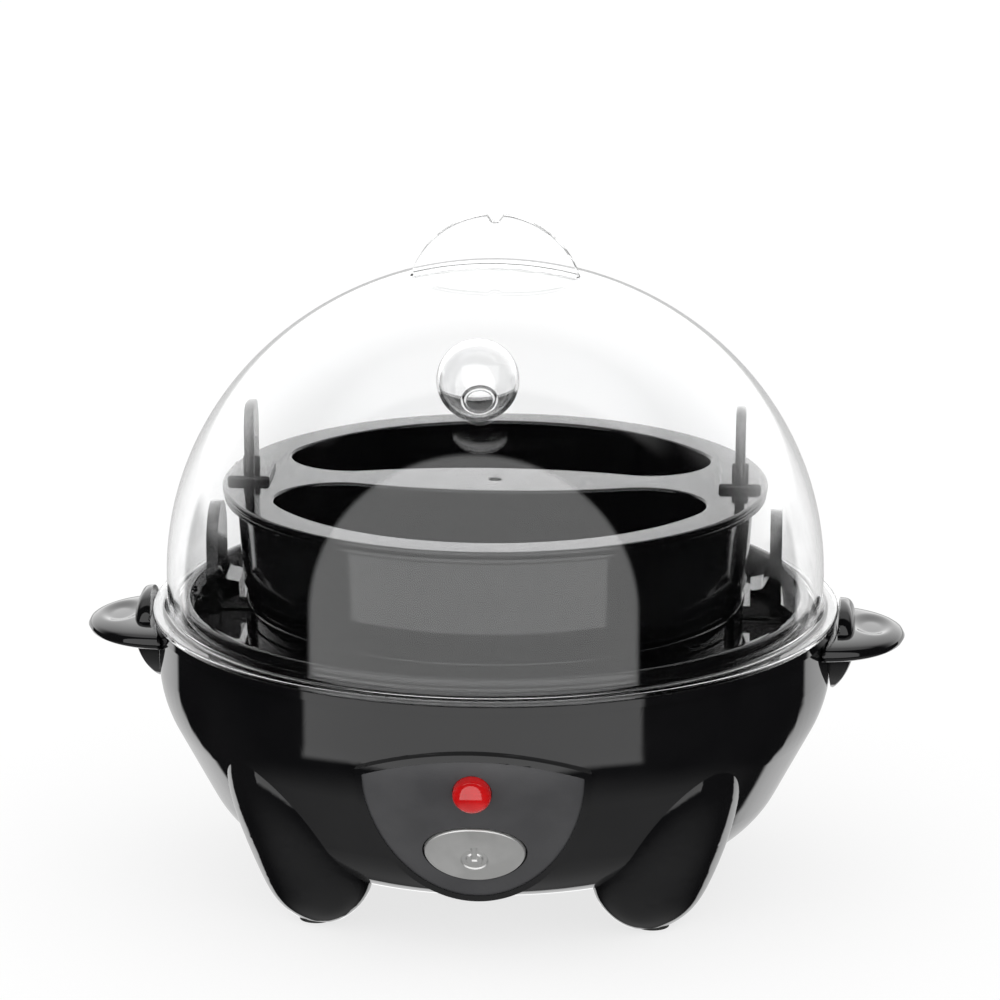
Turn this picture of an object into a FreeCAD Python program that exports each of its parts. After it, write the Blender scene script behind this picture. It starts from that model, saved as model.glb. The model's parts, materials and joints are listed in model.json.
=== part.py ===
import FreeCAD, Part
import math
import os
import re
import Sketcher

# Egg cooker: a bowl on four legs with a heated dish, three stacked trays and a clear dome lid.
# Frame: +Z up, z = 0 at the feet, front towards -Y, side handles on -X and +X, origin on the axis.

doc = FreeCAD.newDocument("EggCooker")
sheet = doc.addObject("Spreadsheet::Sheet", "Sizes")

sizes = {
    # bowl and legs
    "shellRadius": 81.0, "shellWall": 2.4, "shellTop": 64.0, "groundGap": 10.0,
    "shoulderHeight": 47.0, "coneAngle": 28.0, "shoulderRound": 30.0, "bilgeRound": 26.0,
    "serviceRadius": 36.0, "legWidth": 18.0, "legDepth": 12.0, "legWaist": 19.0, "legTop": 46.0,
    "legTip": 0.5, "legLean": 0.155, "legLeanStart": 11.0, "legLeanPower": 1.346,
    "footCut": 1.0, "footReach": 56.5, "footRadius": 4.0, "footPlug": 2.0, "footPlugLength": 5.0,
    # bottom cover and its screws
    "coverRadius": 43.0, "coverThickness": 1.8, "coverScrewReach": 39.6, "coverLipHeight": 4.0,
    "bossRadius": 3.4, "bossHeight": 9.0, "screwRadius": 1.4, "screwHead": 2.8, "screwHeadHeight": 1.6,
    # deck that closes the bowl, with the collar that centres the lid
    "deckRadius": 81.8, "deckThickness": 2.0, "deckOpening": 52.0, "collarInner": 73.3,
    "collarOuter": 75.6, "collarHeight": 5.0, "skirtDepth": 3.0, "skirtWall": 2.0, "skirtGap": 0.4,
    # heated dish and what holds and heats it
    "sealHeight": 1.4, "sealOuter": 56.6, "plateFlange": 57.0, "plateMetal": 1.0, "plateInner": 50.5,
    "plateDepth": 8.8, "plateRound": 4.0, "clampOuter": 67.5, "clampMetal": 1.4, "clampReach": 62.5,
    "clampLip": 1.0, "spreaderInner": 21.5, "spreaderOuter": 40.0, "spreaderHeight": 4.0,
    "coilRadius": 32.0, "coilTube": 3.2, "coilSpan": 320.0, "pinRadius": 1.2, "pinLength": 12.0,
    "thermostatRadius": 9.0, "thermostatHeight": 6.0, "strapLength": 58.0, "strapWidth": 7.0,
    "strapMetal": 1.0, "strapReach": 25.0, "fuseRadius": 1.9, "fuseLength": 11.0, "fuseReach": 14.5,
    "clipLength": 4.0, "clipWall": 1.2,
    # mains entry
    "glandHeight": 26.0, "glandBore": 3.4, "glandBody": 5.6, "glandFlange": 8.0, "glandLength": 24.0,
    "glandOut": 9.0, "glandPad": 9.5, "glandPadProud": 1.2, "glandSeat": 0.6, "glandFlangeMetal": 2.0,
    "nutRadius": 7.6, "nutHeight": 4.0, "blockReach": 26.0, "blockWidth": 24.0, "blockDepth": 11.0,
    "blockHeight": 10.0,
    # side handles
    "handleTip": 98.6, "leafHeight": 59.6, "leafThickness": 3.6, "leafHalfWidth": 20.0,
    "leafCentre": 79.0, "earTop": 69.6, "earBottom": 47.5, "earHalfWidth": 11.0, "earWide": 58.5,
    "earOut": 86.8, "earRoot": 3.0, "earGap": 0.6, "handleScrewSpread": 5.5, "handleScrewHeight": 57.0,
    "handleScrewSeat": 0.3,
    # control panel on the cone of the bowl
    "panelCentreHeight": 32.5, "panelProud": 1.6, "panelHalfWidth": 27.3, "panelCorner": 49.3,
    "panelDrop": 35.6, "panelArch": 70.0, "surroundWidth": 1.6, "surroundDepth": 5.4,
    "panelThickness": 2.6, "panelSink": 0.3, "fitGap": 0.1, "cutReach": 300.0,
    # lamp and push button, measured in the tilted plane of the panel
    "lampUp": 13.8, "lampRadius": 4.5, "lampDome": 3.6, "lensWall": 1.1, "lensFlange": 5.2,
    "lensSink": 0.3, "lensDepth": 6.8, "lensFlangeMetal": 1.2,
    "bulbRadius": 2.4, "bulbLength": 11.5, "buttonDown": 5.6, "buttonHalfWidth": 11.8,
    "buttonHalfHeight": 8.4, "buttonGap": 0.4, "buttonProud": 1.0,
    "buttonDepth": 3.2, "buttonFlangeGrow": 1.4, "stemRadius": 3.0, "stemLength": 11.0,
    "bracketDrop": 13.0, "bracketMetal": 1.5, "bracketHalfWidth": 19.0, "bracketHalfHeight": 19.0,
    "postSpread": 16.0, "postRadius": 2.8, "springRadius": 4.4, "springWire": 0.4, "springTurns": 4,
    "switchWidth": 20.0, "switchHeight": 12.0, "switchDepth": 10.0,
    # egg rack
    "seatGap": 0.3, "rackRadius": 60.0, "rackPlate": 1.8, "rackSkirt": 2.0, "rackSkirtWall": 1.8,
    "eggHole": 14.6, "eggRing": 39.0, "rackHandleReach": 67.4, "rackHandleThickness": 2.8,
    "rackHandleWidth": 18.5, "rackHandleTop": 91.4, "rackHandleFoot": 72.3, "bracketWide": 12.0,
    # omelette tray
    "stepRadius": 59.6, "stepHeight": 4.0, "trayWallRadius": 60.6, "trayTopRadius": 61.9,
    "trayHeight": 26.0, "trayWall": 1.6, "rimRadius": 64.9, "rimThickness": 1.4,
    # poaching tray
    "poachRim": 65.2, "poachPlate": 1.4, "wellRadius": 56.6, "wellCorner": 15.0,
    "wellDepth": 17.0, "wellWall": 1.3, "bridgeHalf": 11.0, "bridgeCurve": 114.0, "drainHole": 1.5,
    "poachHandleReach": 58.6, "poachHandleThickness": 2.4, "poachHandleWidth": 13.0,
    "poachHandleTop": 116.8, "poachFootLength": 10.0, "poachFootWidth": 15.0, "poachFootHeight": 1.6,
    # lid
    "flangeRadius": 82.5, "flangeThickness": 2.0, "domeRadius": 79.0, "domeSpring": 76.0,
    "domeRise": 74.4, "domeWall": 1.3, "finRadius": 21.0, "finThickness": 3.0, "finTop": 163.0,
    "finNotch": 1.75, "ballRadius": 9.5, "ballWall": 1.7, "neckRadius": 4.2, "ventRadius": 2.1,
    "ballAngle": 43.0,
}
for row, (alias, number) in enumerate(sizes.items(), start=1):
    sheet.set(f"A{row}", alias)
    sheet.set(f"B{row}", str(number))
    sheet.setAlias(f"B{row}", alias)
doc.recompute()

nodes = {}


# ---- helpers -------------------------------------------------------------------------------

def named(text):
    """Write each size word of an expression as a cell of the sheet."""
    def cell(word):
        return "Sizes." + word.group(0) if word.group(0) in sizes else word.group(0)
    return re.sub(r"[A-Za-z]+", cell, str(text))


def value(text):
    """Number that an expression of size words gives."""
    number = sheet.evalExpression(named(text))
    return float(getattr(number, "Value", number))


def bind(thing, **expressions):
    for name, text in expressions.items():
        thing.setExpression(name, named(text))
    return thing


def place(thing, x="0", y="0", z="0", turn=None):
    """Bind the position; turn is (axis vector, angle expression)."""
    for axis, text in zip("xyz", (x, y, z)):
        thing.setExpression(f"Placement.Base.{axis}", named(text))
    if turn:
        thing.Placement.Rotation = FreeCAD.Rotation(FreeCAD.Vector(*turn[0]), value(turn[1]))
        thing.setExpression("Placement.Rotation.Angle", named(turn[1]))
    return thing


def cylinder(radius, height, x="0", y="0", z="0", turn=None):
    rod = doc.addObject("Part::Cylinder", "Rod")
    return place(bind(rod, Radius=radius, Height=height), x, y, z, turn)


def block(length, width, height, x="0", y="0", z="0"):
    """Box centred on x and y, standing on z."""
    box = doc.addObject("Part::Box", "Block")
    bind(box, Length=length, Width=width, Height=height)
    return place(box, f"({x}) - ({length}) / 2", f"({y}) - ({width}) / 2", z)


def ellipsoid(half_x, half_y, half_z, x="0", y="0", z="0", turn=None):
    egg = doc.addObject("Part::Ellipsoid", "Egg")
    bind(egg, Radius1=half_z, Radius2=half_x, Radius3=half_y)
    egg.Angle1, egg.Angle2, egg.Angle3 = -90, 90, 360
    return place(egg, x, y, z, turn)


def joined(*pieces):
    if len(pieces) == 1:
        return pieces[0]
    fuse = doc.addObject("Part::MultiFuse", "Joined")
    fuse.Shapes = list(pieces)
    return fuse


def less(base, *tools):
    cut = doc.addObject("Part::Cut", "Less")
    cut.Base = base
    cut.Tool = joined(*tools)
    return cut


def shared(first, second):
    common = doc.addObject("Part::Common", "Shared")
    common.Base, common.Tool = first, second
    return common


def grouped(pieces):
    group = doc.addObject("Part::Compound", "Group")
    group.Links = list(pieces)
    return group


def keep(label, thing):
    """Give a finished piece its name and list it as a node."""
    thing.Label = label
    nodes[label] = thing
    return thing


def sketchOn(body, role):
    plane = next(item for item in body.Origin.OriginFeatures if item.Role == role)
    sketch = body.newObject("Sketcher::SketchObject", "Sketch")
    sketch.AttachmentSupport = [(plane, "")]
    sketch.MapMode = "FlatFace"
    return sketch


def pin(sketch, geometry, position, x, y):
    """Fix one point of a sketch at two expressions of the sheet."""
    for kind, text, axis in (("DistanceX", x, -2), ("DistanceY", y, -1)):
        if abs(value(text)) < 1e-9:
            sketch.addConstraint(Sketcher.Constraint("PointOnObject", geometry, position, axis))
        else:
            index = sketch.addConstraint(
                Sketcher.Constraint(kind, -1, 1, geometry, position, value(text)))
            sketch.setExpression(f"Constraints[{index}]", named(text))


def outline(sketch, corners):
    """Closed outline; a corner is (x, y) or (x, y, rounding radius), all as expressions."""
    count = len(corners)
    points = [FreeCAD.Vector(value(corner[0]), value(corner[1]), 0) for corner in corners]
    arrive, leave = list(points), list(points)
    for i, corner in enumerate(corners):
        if len(corner) == 3:
            back = (points[i - 1] - points[i]).normalize()
            ahead = (points[(i + 1) % count] - points[i]).normalize()
            reach = value(corner[2]) / math.tan(back.getAngle(ahead) / 2)
            arrive[i] = points[i] + back * reach
            leave[i] = points[i] + ahead * reach
    for i in range(count):
        sketch.addGeometry(Part.LineSegment(leave[i], arrive[(i + 1) % count]))
    for i, corner in enumerate(corners):
        before, after = (i - 1) % count, i
        if len(corner) == 2:
            sketch.addConstraint(Sketcher.Constraint("Coincident", before, 2, after, 1))
            pin(sketch, after, 1, corner[0], corner[1])
            continue
        radius = value(corner[2])
        middle = arrive[i] + leave[i] - points[i] * 2
        half = (arrive[i] - points[i]).getAngle(leave[i] - points[i]) / 2
        centre = points[i] + middle.normalize() * (radius / math.sin(half))
        angles = [math.atan2(p.y - centre.y, p.x - centre.x) for p in (arrive[i], leave[i])]
        leftTurn = (points[i] - arrive[i]).cross(leave[i] - points[i]).z > 0
        first, last = angles if leftTurn else reversed(angles)
        if last < first:
            last += 2 * math.pi
        circle = Part.Circle(centre, FreeCAD.Vector(0, 0, 1), radius)
        arc = sketch.addGeometry(Part.ArcOfCircle(circle, first, last))
        apex = sketch.addGeometry(Part.Point(points[i]), True)
        arcEnds = (1, 2) if leftTurn else (2, 1)
        sketch.addConstraint(Sketcher.Constraint("Tangent", before, 2, arc, arcEnds[0]))
        sketch.addConstraint(Sketcher.Constraint("Tangent", arc, arcEnds[1], after, 1))
        for line in (before, after):
            sketch.addConstraint(Sketcher.Constraint("PointOnObject", apex, 1, line))
        pin(sketch, apex, 1, corner[0], corner[1])
        index = sketch.addConstraint(Sketcher.Constraint("Radius", arc, radius))
        sketch.setExpression(f"Constraints[{index}]", named(corner[2]))


def turned(corners):
    """Solid turned about Z from a closed outline of (radius, height) corners."""
    body = doc.addObject("PartDesign::Body", "Turned")
    sketch = sketchOn(body, "XZ_Plane")
    outline(sketch, corners)
    feature = body.newObject("PartDesign::Revolution", "Revolution")
    feature.Profile = sketch
    feature.ReferenceAxis = (sketch, ["V_Axis"])
    feature.Angle = 360
    return body


def padded(role, corners, length):
    """Outline on a plane of the body, padded evenly to both sides."""
    body = doc.addObject("PartDesign::Body", "Padded")
    sketch = sketchOn(body, role)
    outline(sketch, corners)
    feature = body.newObject("PartDesign::Pad", "Pad")
    feature.Profile = sketch
    feature.SideType = "Symmetric"
    return bind(feature, Length=length) and body


def ovalPad(role, half_x, half_y, y, length, both=True):
    """Ellipse on a plane of the body, centred at height y, padded to one or both sides."""
    body = doc.addObject("PartDesign::Body", "Oval")
    sketch = sketchOn(body, role)
    centre = FreeCAD.Vector(0, value(y), 0)
    along, across = FreeCAD.Vector(value(half_x), 0, 0), FreeCAD.Vector(0, value(half_y), 0)
    wide = along.Length >= across.Length
    major, minor = (along, across) if wide else (across, along)
    oval = sketch.addGeometry(Part.Ellipse(centre + major, centre + minor, centre))
    sketch.exposeInternalGeometry(oval)
    sketch.addConstraint(Sketcher.Constraint("Horizontal" if wide else "Vertical", 1))
    pin(sketch, oval, 3, "0", y)
    for axis, text in zip((1, 2), (half_x, half_y) if wide else (half_y, half_x)):
        index = sketch.addConstraint(Sketcher.Constraint("Distance", axis, 2 * value(text)))
        sketch.setExpression(f"Constraints[{index}]", named(f"2 * ({text})"))
    feature = body.newObject("PartDesign::Pad", "Pad")
    feature.Profile = sketch
    feature.SideType = "Symmetric" if both else "One side"
    return bind(feature, Length=length) and body


def ring(outer, inner, height, z):
    """Flat ring about Z."""
    return less(cylinder(outer, height, z=z), cylinder(inner, f"({height}) + 2", z=f"({z}) - 1"))


def around(count, radius, start=0):
    """Evenly spaced (x, y) expressions on a circle."""
    angles = [start + 360 * i / count for i in range(count)]
    return [(f"({radius}) * cos({a})", f"({radius}) * sin({a})") for a in angles]


def screw(x, y, z, length, headBelow=True):
    """Pan-head screw along Z whose head rests at height z."""
    shank = cylinder("screwRadius", length, x, y, z if headBelow else f"({z}) - ({length})")
    head = cylinder("screwHead", "screwHeadHeight", x, y, f"({z}) - screwHeadHeight" if headBelow else z)
    return joined(shank, head)


tilt = ((1, 0, 0), "90 + coneAngle")


def onPanel(thing):
    """Stand a piece made in the panel's own plane (X across, Y up, Z out) on the bowl's front."""
    return place(thing, "0", f"-({panelFaceRadius})", "panelCentreHeight", tilt)


# ---- bowl, legs and bottom -----------------------------------------------------------------

coneSlope = "tan(coneAngle)"
bilgeRadius = f"shellRadius - (shoulderHeight - groundGap) * {coneSlope}"
coneShift = "/ cos(coneAngle)"


def bowlSolid(inset):
    """Solid of the bowl's outside, drawn in by a wall thickness."""
    wall = f"({inset})"
    floor = f"groundGap + {wall}"
    corner = f"{bilgeRadius} + {wall} * {coneSlope} - {wall} {coneShift}"
    bend = f"shoulderHeight + ({wall} {coneShift} - {wall}) / {coneSlope}"
    return turned([
        ("0", floor), (corner, floor, f"bilgeRound - {wall}"),
        (f"shellRadius - {wall}", bend, f"shoulderRound - {wall}"),
        (f"shellRadius - {wall}", "shellTop"), ("0", "shellTop")])


archRise = "(panelArch - sqrt(panelArch ^ 2 - panelHalfWidth ^ 2))"


def shieldPrism(inset):
    """Prism along Y of the panel outline: an arched top over a half ellipse."""
    oval = ovalPad("XZ_Plane", f"panelHalfWidth - ({inset})", f"panelDrop - ({inset})",
                   "panelCorner", "cutReach")
    arch = cylinder(f"panelArch - ({inset})", "cutReach / 2", z=f"panelCorner + {archRise} - panelArch",
                    turn=((1, 0, 0), "90"))
    return shared(oval, arch)


panelFaceRadius = f"shellRadius - (shoulderHeight - panelCentreHeight) * {coneSlope} + panelProud {coneShift}"


def panelSolid(lift):
    """Solid whose outside follows the bowl, lifted off it, and runs straight down past the bilge."""
    lifted = f"({lift})"
    bend = f"shoulderHeight - ({lifted} {coneShift} - {lifted}) / {coneSlope}"
    below = "(groundGap - 2)"
    foot = f"shellRadius - (shoulderHeight - {below}) * {coneSlope} + {lifted} {coneShift}"
    return turned([
        ("0", below), (foot, below),
        (f"shellRadius + {lifted}", bend, f"shoulderRound + {lifted}"),
        (f"shellRadius + {lifted}", "shellTop"), ("0", "shellTop")])


def legSection(azimuth, height):
    """Level ellipse of a leg: widest at the waist, leaning out along the bowl above it."""
    end = "-legTip" if value(height) < value("legWaist") else "legTop + legTip"
    shrink = f"sqrt(1 - ((({height}) - legWaist) / ({end} - legWaist)) ^ 2)"
    leaning = value(height) > value("legLeanStart")
    lean = f"legLean * (({height}) - legLeanStart) ^ legLeanPower" if leaning else "0"
    ellipse = doc.addObject("Part::Ellipse", "LegSection")
    bind(ellipse, MajorRadius=f"legWidth * {shrink}", MinorRadius=f"legDepth * {shrink}")
    reach = f"(footReach + {lean})"
    return place(ellipse, f"{reach} * cos({azimuth})", f"{reach} * sin({azimuth})", height,
                 ((0, 0, 1), f"{azimuth} + 90"))


legHeights = ["footCut", "footCut + 1.5", "footCut + 4.5", "legWaist * 0.5", "legWaist * 0.8", "legWaist * 1.2",
              "legWaist * 1.6", "legWaist * 2", "legTop * 0.92", "legTop"]
legs = []
for azimuth in (45, 135, 225, 315):
    leg = doc.addObject("Part::Loft", "Leg")
    leg.Sections = [legSection(azimuth, height) for height in legHeights]
    leg.Solid = True
    legs.append(leg)
bosses = [cylinder("bossRadius", "bossHeight + 0.5", x, y, "groundGap + shellWall - 0.5")
          for x, y in around(4, "coverScrewReach")]
footHoles = [cylinder("footPlug", "footPlugLength", x, y, "footCut") for x, y in around(4, "footReach", 45)]
coverPilots = [cylinder("screwRadius", "bossHeight", x, y, "groundGap - 1")
               for x, y in around(4, "coverScrewReach")]
glandTurn = ((1, 0, 0), "-90 - coneAngle")
glandRadius = f"shellRadius - (shoulderHeight - glandHeight) * {coneSlope}"


def onBack(thing):
    """Stand a piece made along its own Z on the back of the bowl, square to its cone."""
    return place(thing, "0", glandRadius, "glandHeight", glandTurn)


handleScrewSpots = [(side, spread) for side in (-1, 1) for spread in (-1, 1)]
handleHoles = [
    cylinder("screwRadius + fitGap", "12", x=f"{side} * (shellRadius - 4)",
             y=f"{spread} * handleScrewSpread", z="handleScrewHeight", turn=((0, 1, 0), f"{side} * 90"))
    for side, spread in handleScrewSpots]
hollow = bowlSolid("shellWall")
shellBlank = less(joined(bowlSolid("0"), *legs), hollow)
glandPad = onBack(grouped([cylinder("glandPad", "shellWall + glandSeat + glandPadProud",
                                    z="-shellWall - glandSeat")]))
glandHole = onBack(grouped([cylinder("glandBody + fitGap", "40", z="-20")]))
keep("base_shell", less(
    joined(shellBlank, glandPad, *bosses),
    cylinder("serviceRadius", "10", z="groundGap - 5"), shieldPrism("0"), glandHole,
    *footHoles, *coverPilots, *handleHoles))

feet = [joined(cylinder("footRadius", "footCut", x, y),
               cylinder("footPlug", "footPlugLength", x, y, "footCut"))
        for x, y in around(4, "footReach", 45)]
keep("rubber_feet", grouped(feet))

coverHoles = [cylinder("screwRadius + fitGap", "10", x, y, "groundGap - 8")
              for x, y in around(4, "coverScrewReach")]
cover = turned([
    ("0", "groundGap - coverThickness"), ("coverRadius", "groundGap - coverThickness", "1"),
    ("coverRadius", "groundGap"), ("serviceRadius - fitGap", "groundGap"),
    ("serviceRadius - fitGap", "groundGap + coverLipHeight"),
    ("serviceRadius - fitGap - coverThickness", "groundGap + coverLipHeight"),
    ("serviceRadius - fitGap - coverThickness", "groundGap"), ("0", "groundGap")])
keep("bottom_cover", less(cover, *coverHoles))
keep("cover_screws", grouped([screw(x, y, "groundGap - coverThickness", "bossHeight")
                              for x, y in around(4, "coverScrewReach")]))

# ---- deck, dish and heater -----------------------------------------------------------------

deckTop = "shellTop + deckThickness"
skirtRadius = "shellRadius - shellWall - skirtGap"
clampSpots = around(3, "clampReach", 90)
deck = turned([
    ("deckOpening", "shellTop"), (f"{skirtRadius} - skirtWall", "shellTop"),
    (f"{skirtRadius} - skirtWall", "shellTop - skirtDepth"), (skirtRadius, "shellTop - skirtDepth"),
    (skirtRadius, "shellTop"), ("deckRadius", "shellTop"), ("deckRadius", deckTop),
    ("collarOuter", deckTop), ("collarOuter", f"{deckTop} + collarHeight", "0.9"),
    ("collarInner", f"{deckTop} + collarHeight", "0.9"), ("collarInner", deckTop), ("deckOpening", deckTop)])
flangeTop = "shellTop - sealHeight"
flangeUnder = f"{flangeTop} - plateMetal"
clampUnder = f"{flangeUnder} - clampMetal"
deckPosts = [cylinder("bossRadius", f"shellTop - ({flangeUnder}) + 0.5", x, y, flangeUnder)
             for x, y in clampSpots]
deckPilots = [cylinder("screwRadius", "6", x, y, f"{deckTop} - 1 - 6") for x, y in clampSpots]
keep("deck_ring", less(joined(deck, *deckPosts), *deckPilots))
keep("plate_seal", ring("sealOuter", "deckOpening + 0.6", "sealHeight", flangeTop))

dishFloor = f"{flangeTop} - plateDepth"
plateOuter = "plateInner + plateMetal"
keep("heating_plate", turned([
    ("0", f"{dishFloor} - plateMetal"), (plateOuter, f"{dishFloor} - plateMetal", "plateRound + plateMetal"),
    (plateOuter, flangeUnder), ("plateFlange", flangeUnder), ("plateFlange", flangeTop),
    ("plateInner", flangeTop), ("plateInner", dishFloor, "plateRound"), ("0", dishFloor)]))
clampHoles = [cylinder("screwRadius + fitGap", "10", x, y, f"{clampUnder} - 5") for x, y in clampSpots]
keep("plate_clamp", less(ring("clampOuter", f"{plateOuter} + clampLip", "clampMetal", clampUnder), *clampHoles))
keep("clamp_screws", grouped([screw(x, y, clampUnder, f"{deckTop} - 1 - ({clampUnder})")
                              for x, y in clampSpots]))

plateUnder = f"{dishFloor} - plateMetal"
spreaderUnder = f"{plateUnder} - spreaderHeight"
strapTop = f"{plateUnder} - thermostatHeight"
strapSpots = around(2, "strapReach")
coil = doc.addObject("Part::Torus", "Coil")
bind(coil, Radius1="coilRadius", Radius2="coilTube", Angle3="coilSpan")
coil.Angle1, coil.Angle2 = -180, 180
place(coil, z=spreaderUnder, turn=((0, 0, 1), "90 + (360 - coilSpan) / 2"))
coilGroove = doc.addObject("Part::Torus", "Groove")
bind(coilGroove, Radius1="coilRadius", Radius2="coilTube")
coilGroove.Angle1, coilGroove.Angle2 = -180, 180
place(coilGroove, z=spreaderUnder)
strapPosts = [cylinder("2.6", f"{spreaderUnder} - ({strapTop}) + 0.5", x, y, strapTop) for x, y in strapSpots]
strapPilots = [cylinder("screwRadius", "5", x, y, strapTop) for x, y in strapSpots]
keep("heat_spreader", less(joined(ring("spreaderOuter", "spreaderInner", "spreaderHeight", spreaderUnder),
                                  *strapPosts), coilGroove, *strapPilots))
pinAngles = ["90 - (360 - coilSpan) / 2", "90 + (360 - coilSpan) / 2"]
pins = [cylinder("pinRadius", "pinLength", f"coilRadius * cos({a})", f"coilRadius * sin({a})",
                 f"{spreaderUnder} - pinLength") for a in pinAngles]
keep("heating_element", joined(coil, *pins))
keep("thermostat", joined(cylinder("thermostatRadius", "thermostatHeight", z=strapTop),
                          cylinder("thermostatRadius + 2", "2", z=f"{plateUnder} - 2")))
strapHoles = [cylinder("screwRadius + fitGap", "10", x, y, f"{strapTop} - 5") for x, y in strapSpots]
keep("thermostat_strap", less(block("strapLength", "strapWidth", "strapMetal", z=f"{strapTop} - strapMetal"),
                              *strapHoles))
keep("strap_screws", grouped([screw(x, y, f"{strapTop} - strapMetal", "5") for x, y in strapSpots]))
fuseHeight = f"{plateUnder} - fuseRadius"
fuse = joined(
    cylinder("fuseRadius", "fuseLength", x="-fuseLength / 2", y="fuseReach", z=fuseHeight,
             turn=((0, 1, 0), "90")),
    cylinder("0.5", "fuseLength + 12", x="-fuseLength / 2 - 6", y="fuseReach", z=fuseHeight,
             turn=((0, 1, 0), "90")))
keep("thermal_fuse", fuse)
keep("fuse_clip", less(
    block("clipLength", "2 * fuseRadius + 2 * clipWall", "2 * fuseRadius + clipWall", y="fuseReach",
          z=f"{plateUnder} - 2 * fuseRadius - clipWall"),
    cylinder("fuseRadius", "3 * clipLength", x="-1.5 * clipLength", y="fuseReach", z=fuseHeight,
             turn=((0, 1, 0), "90")),
    block("3 * clipLength", "2 * fuseRadius", "2 * fuseRadius", y="fuseReach", z=fuseHeight)))

# ---- mains entry ---------------------------------------------------------------------------

gland = less(
    joined(cylinder("glandBody", "glandLength", z="glandOut + glandPadProud - glandLength"),
           cylinder("glandFlange", "glandFlangeMetal", z="glandPadProud")),
    cylinder("glandBore", "glandLength + 2", z="glandOut + glandPadProud - glandLength - 1"))
keep("cord_gland", onBack(grouped([gland])))
nutTop = "-shellWall - glandSeat"
nut = less(cylinder("nutRadius", "nutHeight", z=f"{nutTop} - nutHeight"), cylinder("glandBody", "30", z="-20"))
keep("gland_nut", onBack(grouped([nut])))
blockScrewSpots = [(f"{side} * blockWidth / 4", "blockReach") for side in (-1, 1)]
keep("terminal_screws", grouped([screw(x, y, "groundGap + blockHeight", "4", headBelow=False)
                                 for x, y in blockScrewSpots]))
blockTool = [cylinder("screwRadius", "4", x, y, "groundGap + blockHeight - 4") for x, y in blockScrewSpots]
keep("terminal_block", less(block("blockWidth", "blockDepth", "blockHeight", y="blockReach", z="groundGap"),
                            *blockTool))

# ---- side handles --------------------------------------------------------------------------

rimClear = "flangeRadius + earGap"


def sideHandle(side):
    """Leaf tab with a thumb dimple on an ear that hugs the bowl's rim."""
    leafOval = ovalPad("XY_Plane", "handleTip - leafCentre", "leafHalfWidth", "0", "leafThickness", both=False)
    leafOval = place(leafOval, f"{side} * leafCentre", "0", "leafHeight")
    leaf = less(leafOval, cylinder(rimClear, "40", z="leafHeight - 20"))
    ear = padded("YZ_Plane", [
        ("0", "earBottom", "3"), ("earHalfWidth", "earWide", "5"), ("earHalfWidth * 0.9", "earTop", "7"),
        ("-earHalfWidth * 0.9", "earTop", "7"), ("-earHalfWidth", "earWide", "5")],
        "earOut - shellRadius + earRoot")
    ear = place(ear, f"{side} * (shellRadius - earRoot + earOut) / 2")
    dimple = ellipsoid("5", "9", "1.2", x=f"{side} * (handleTip - 8)", z="leafHeight + leafThickness + 0.2")
    slot = block("3", "9", "3", x=f"{side} * earOut", z="leafHeight - 4.4")
    pilots = [cylinder("screwRadius", "12", x=f"{side} * (shellRadius - 8)", y=f"{spread} * handleScrewSpread",
                       z="handleScrewHeight", turn=((0, 1, 0), f"{side} * 90")) for spread in (-1, 1)]
    rim = joined(cylinder("shellRadius", "100"), cylinder(rimClear, "40", z="shellTop - 0.4"))
    return less(joined(leaf, ear), rim, dimple, slot, *pilots)


keep("left_handle", sideHandle(-1))
keep("right_handle", sideHandle(1))
handleScrews = []
for side, spread in handleScrewSpots:
    turn = ((0, 1, 0), f"{side} * 90")
    y = f"{spread} * handleScrewSpread"
    flat = "sqrt((shellRadius - shellWall) ^ 2 - (handleScrewSpread + screwHead) ^ 2)"
    seat = f"{side} * ({flat} - handleScrewSeat)"
    head = cylinder("screwHead", "screwHeadHeight", f"{seat} - {side} * screwHeadHeight", y,
                    "handleScrewHeight", turn)
    shank = cylinder("screwRadius", f"{side} * (({side}) * (shellRadius + 3) - {seat})", seat, y,
                     "handleScrewHeight", turn)
    handleScrews.append(joined(head, shank))
keep("handle_screws", grouped(handleScrews))

# ---- control panel, lamp, button and switch --------------------------------------------------

innerLimit = bowlSolid("surroundDepth")
behindPanel = block("cutReach", "cutReach", "cutReach", y=f"cutReach / 2 - ({bilgeRadius}) + panelDrop / 3",
                    z="-cutReach / 2")
keep("panel_surround", less(shared(panelSolid("panelProud"), shieldPrism("0")),
                            shieldPrism("surroundWidth"), innerLimit, behindPanel))
buttonHole = ovalPad("XY_Plane", "buttonHalfWidth + buttonGap", "buttonHalfHeight + buttonGap",
                     "-buttonDown", "30")
lampHole = cylinder("lampRadius + fitGap", "30", y="lampUp", z="-15")
panelBlank = less(shared(panelSolid("panelProud - panelSink"), shieldPrism("surroundWidth")),
                  panelSolid("panelProud - panelSink - panelThickness"), behindPanel)
posts = onPanel(grouped([cylinder("postRadius", "bracketDrop - panelThickness - 0.8", x=f"{side} * postSpread",
                                  z="-bracketDrop") for side in (-1, 1)]))
panelTools = onPanel(grouped([buttonHole, lampHole, *[
    cylinder("screwRadius", "7", x=f"{side} * postSpread", z="-bracketDrop") for side in (-1, 1)]]))
keep("control_panel", less(joined(panelBlank, posts), panelTools))

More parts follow.
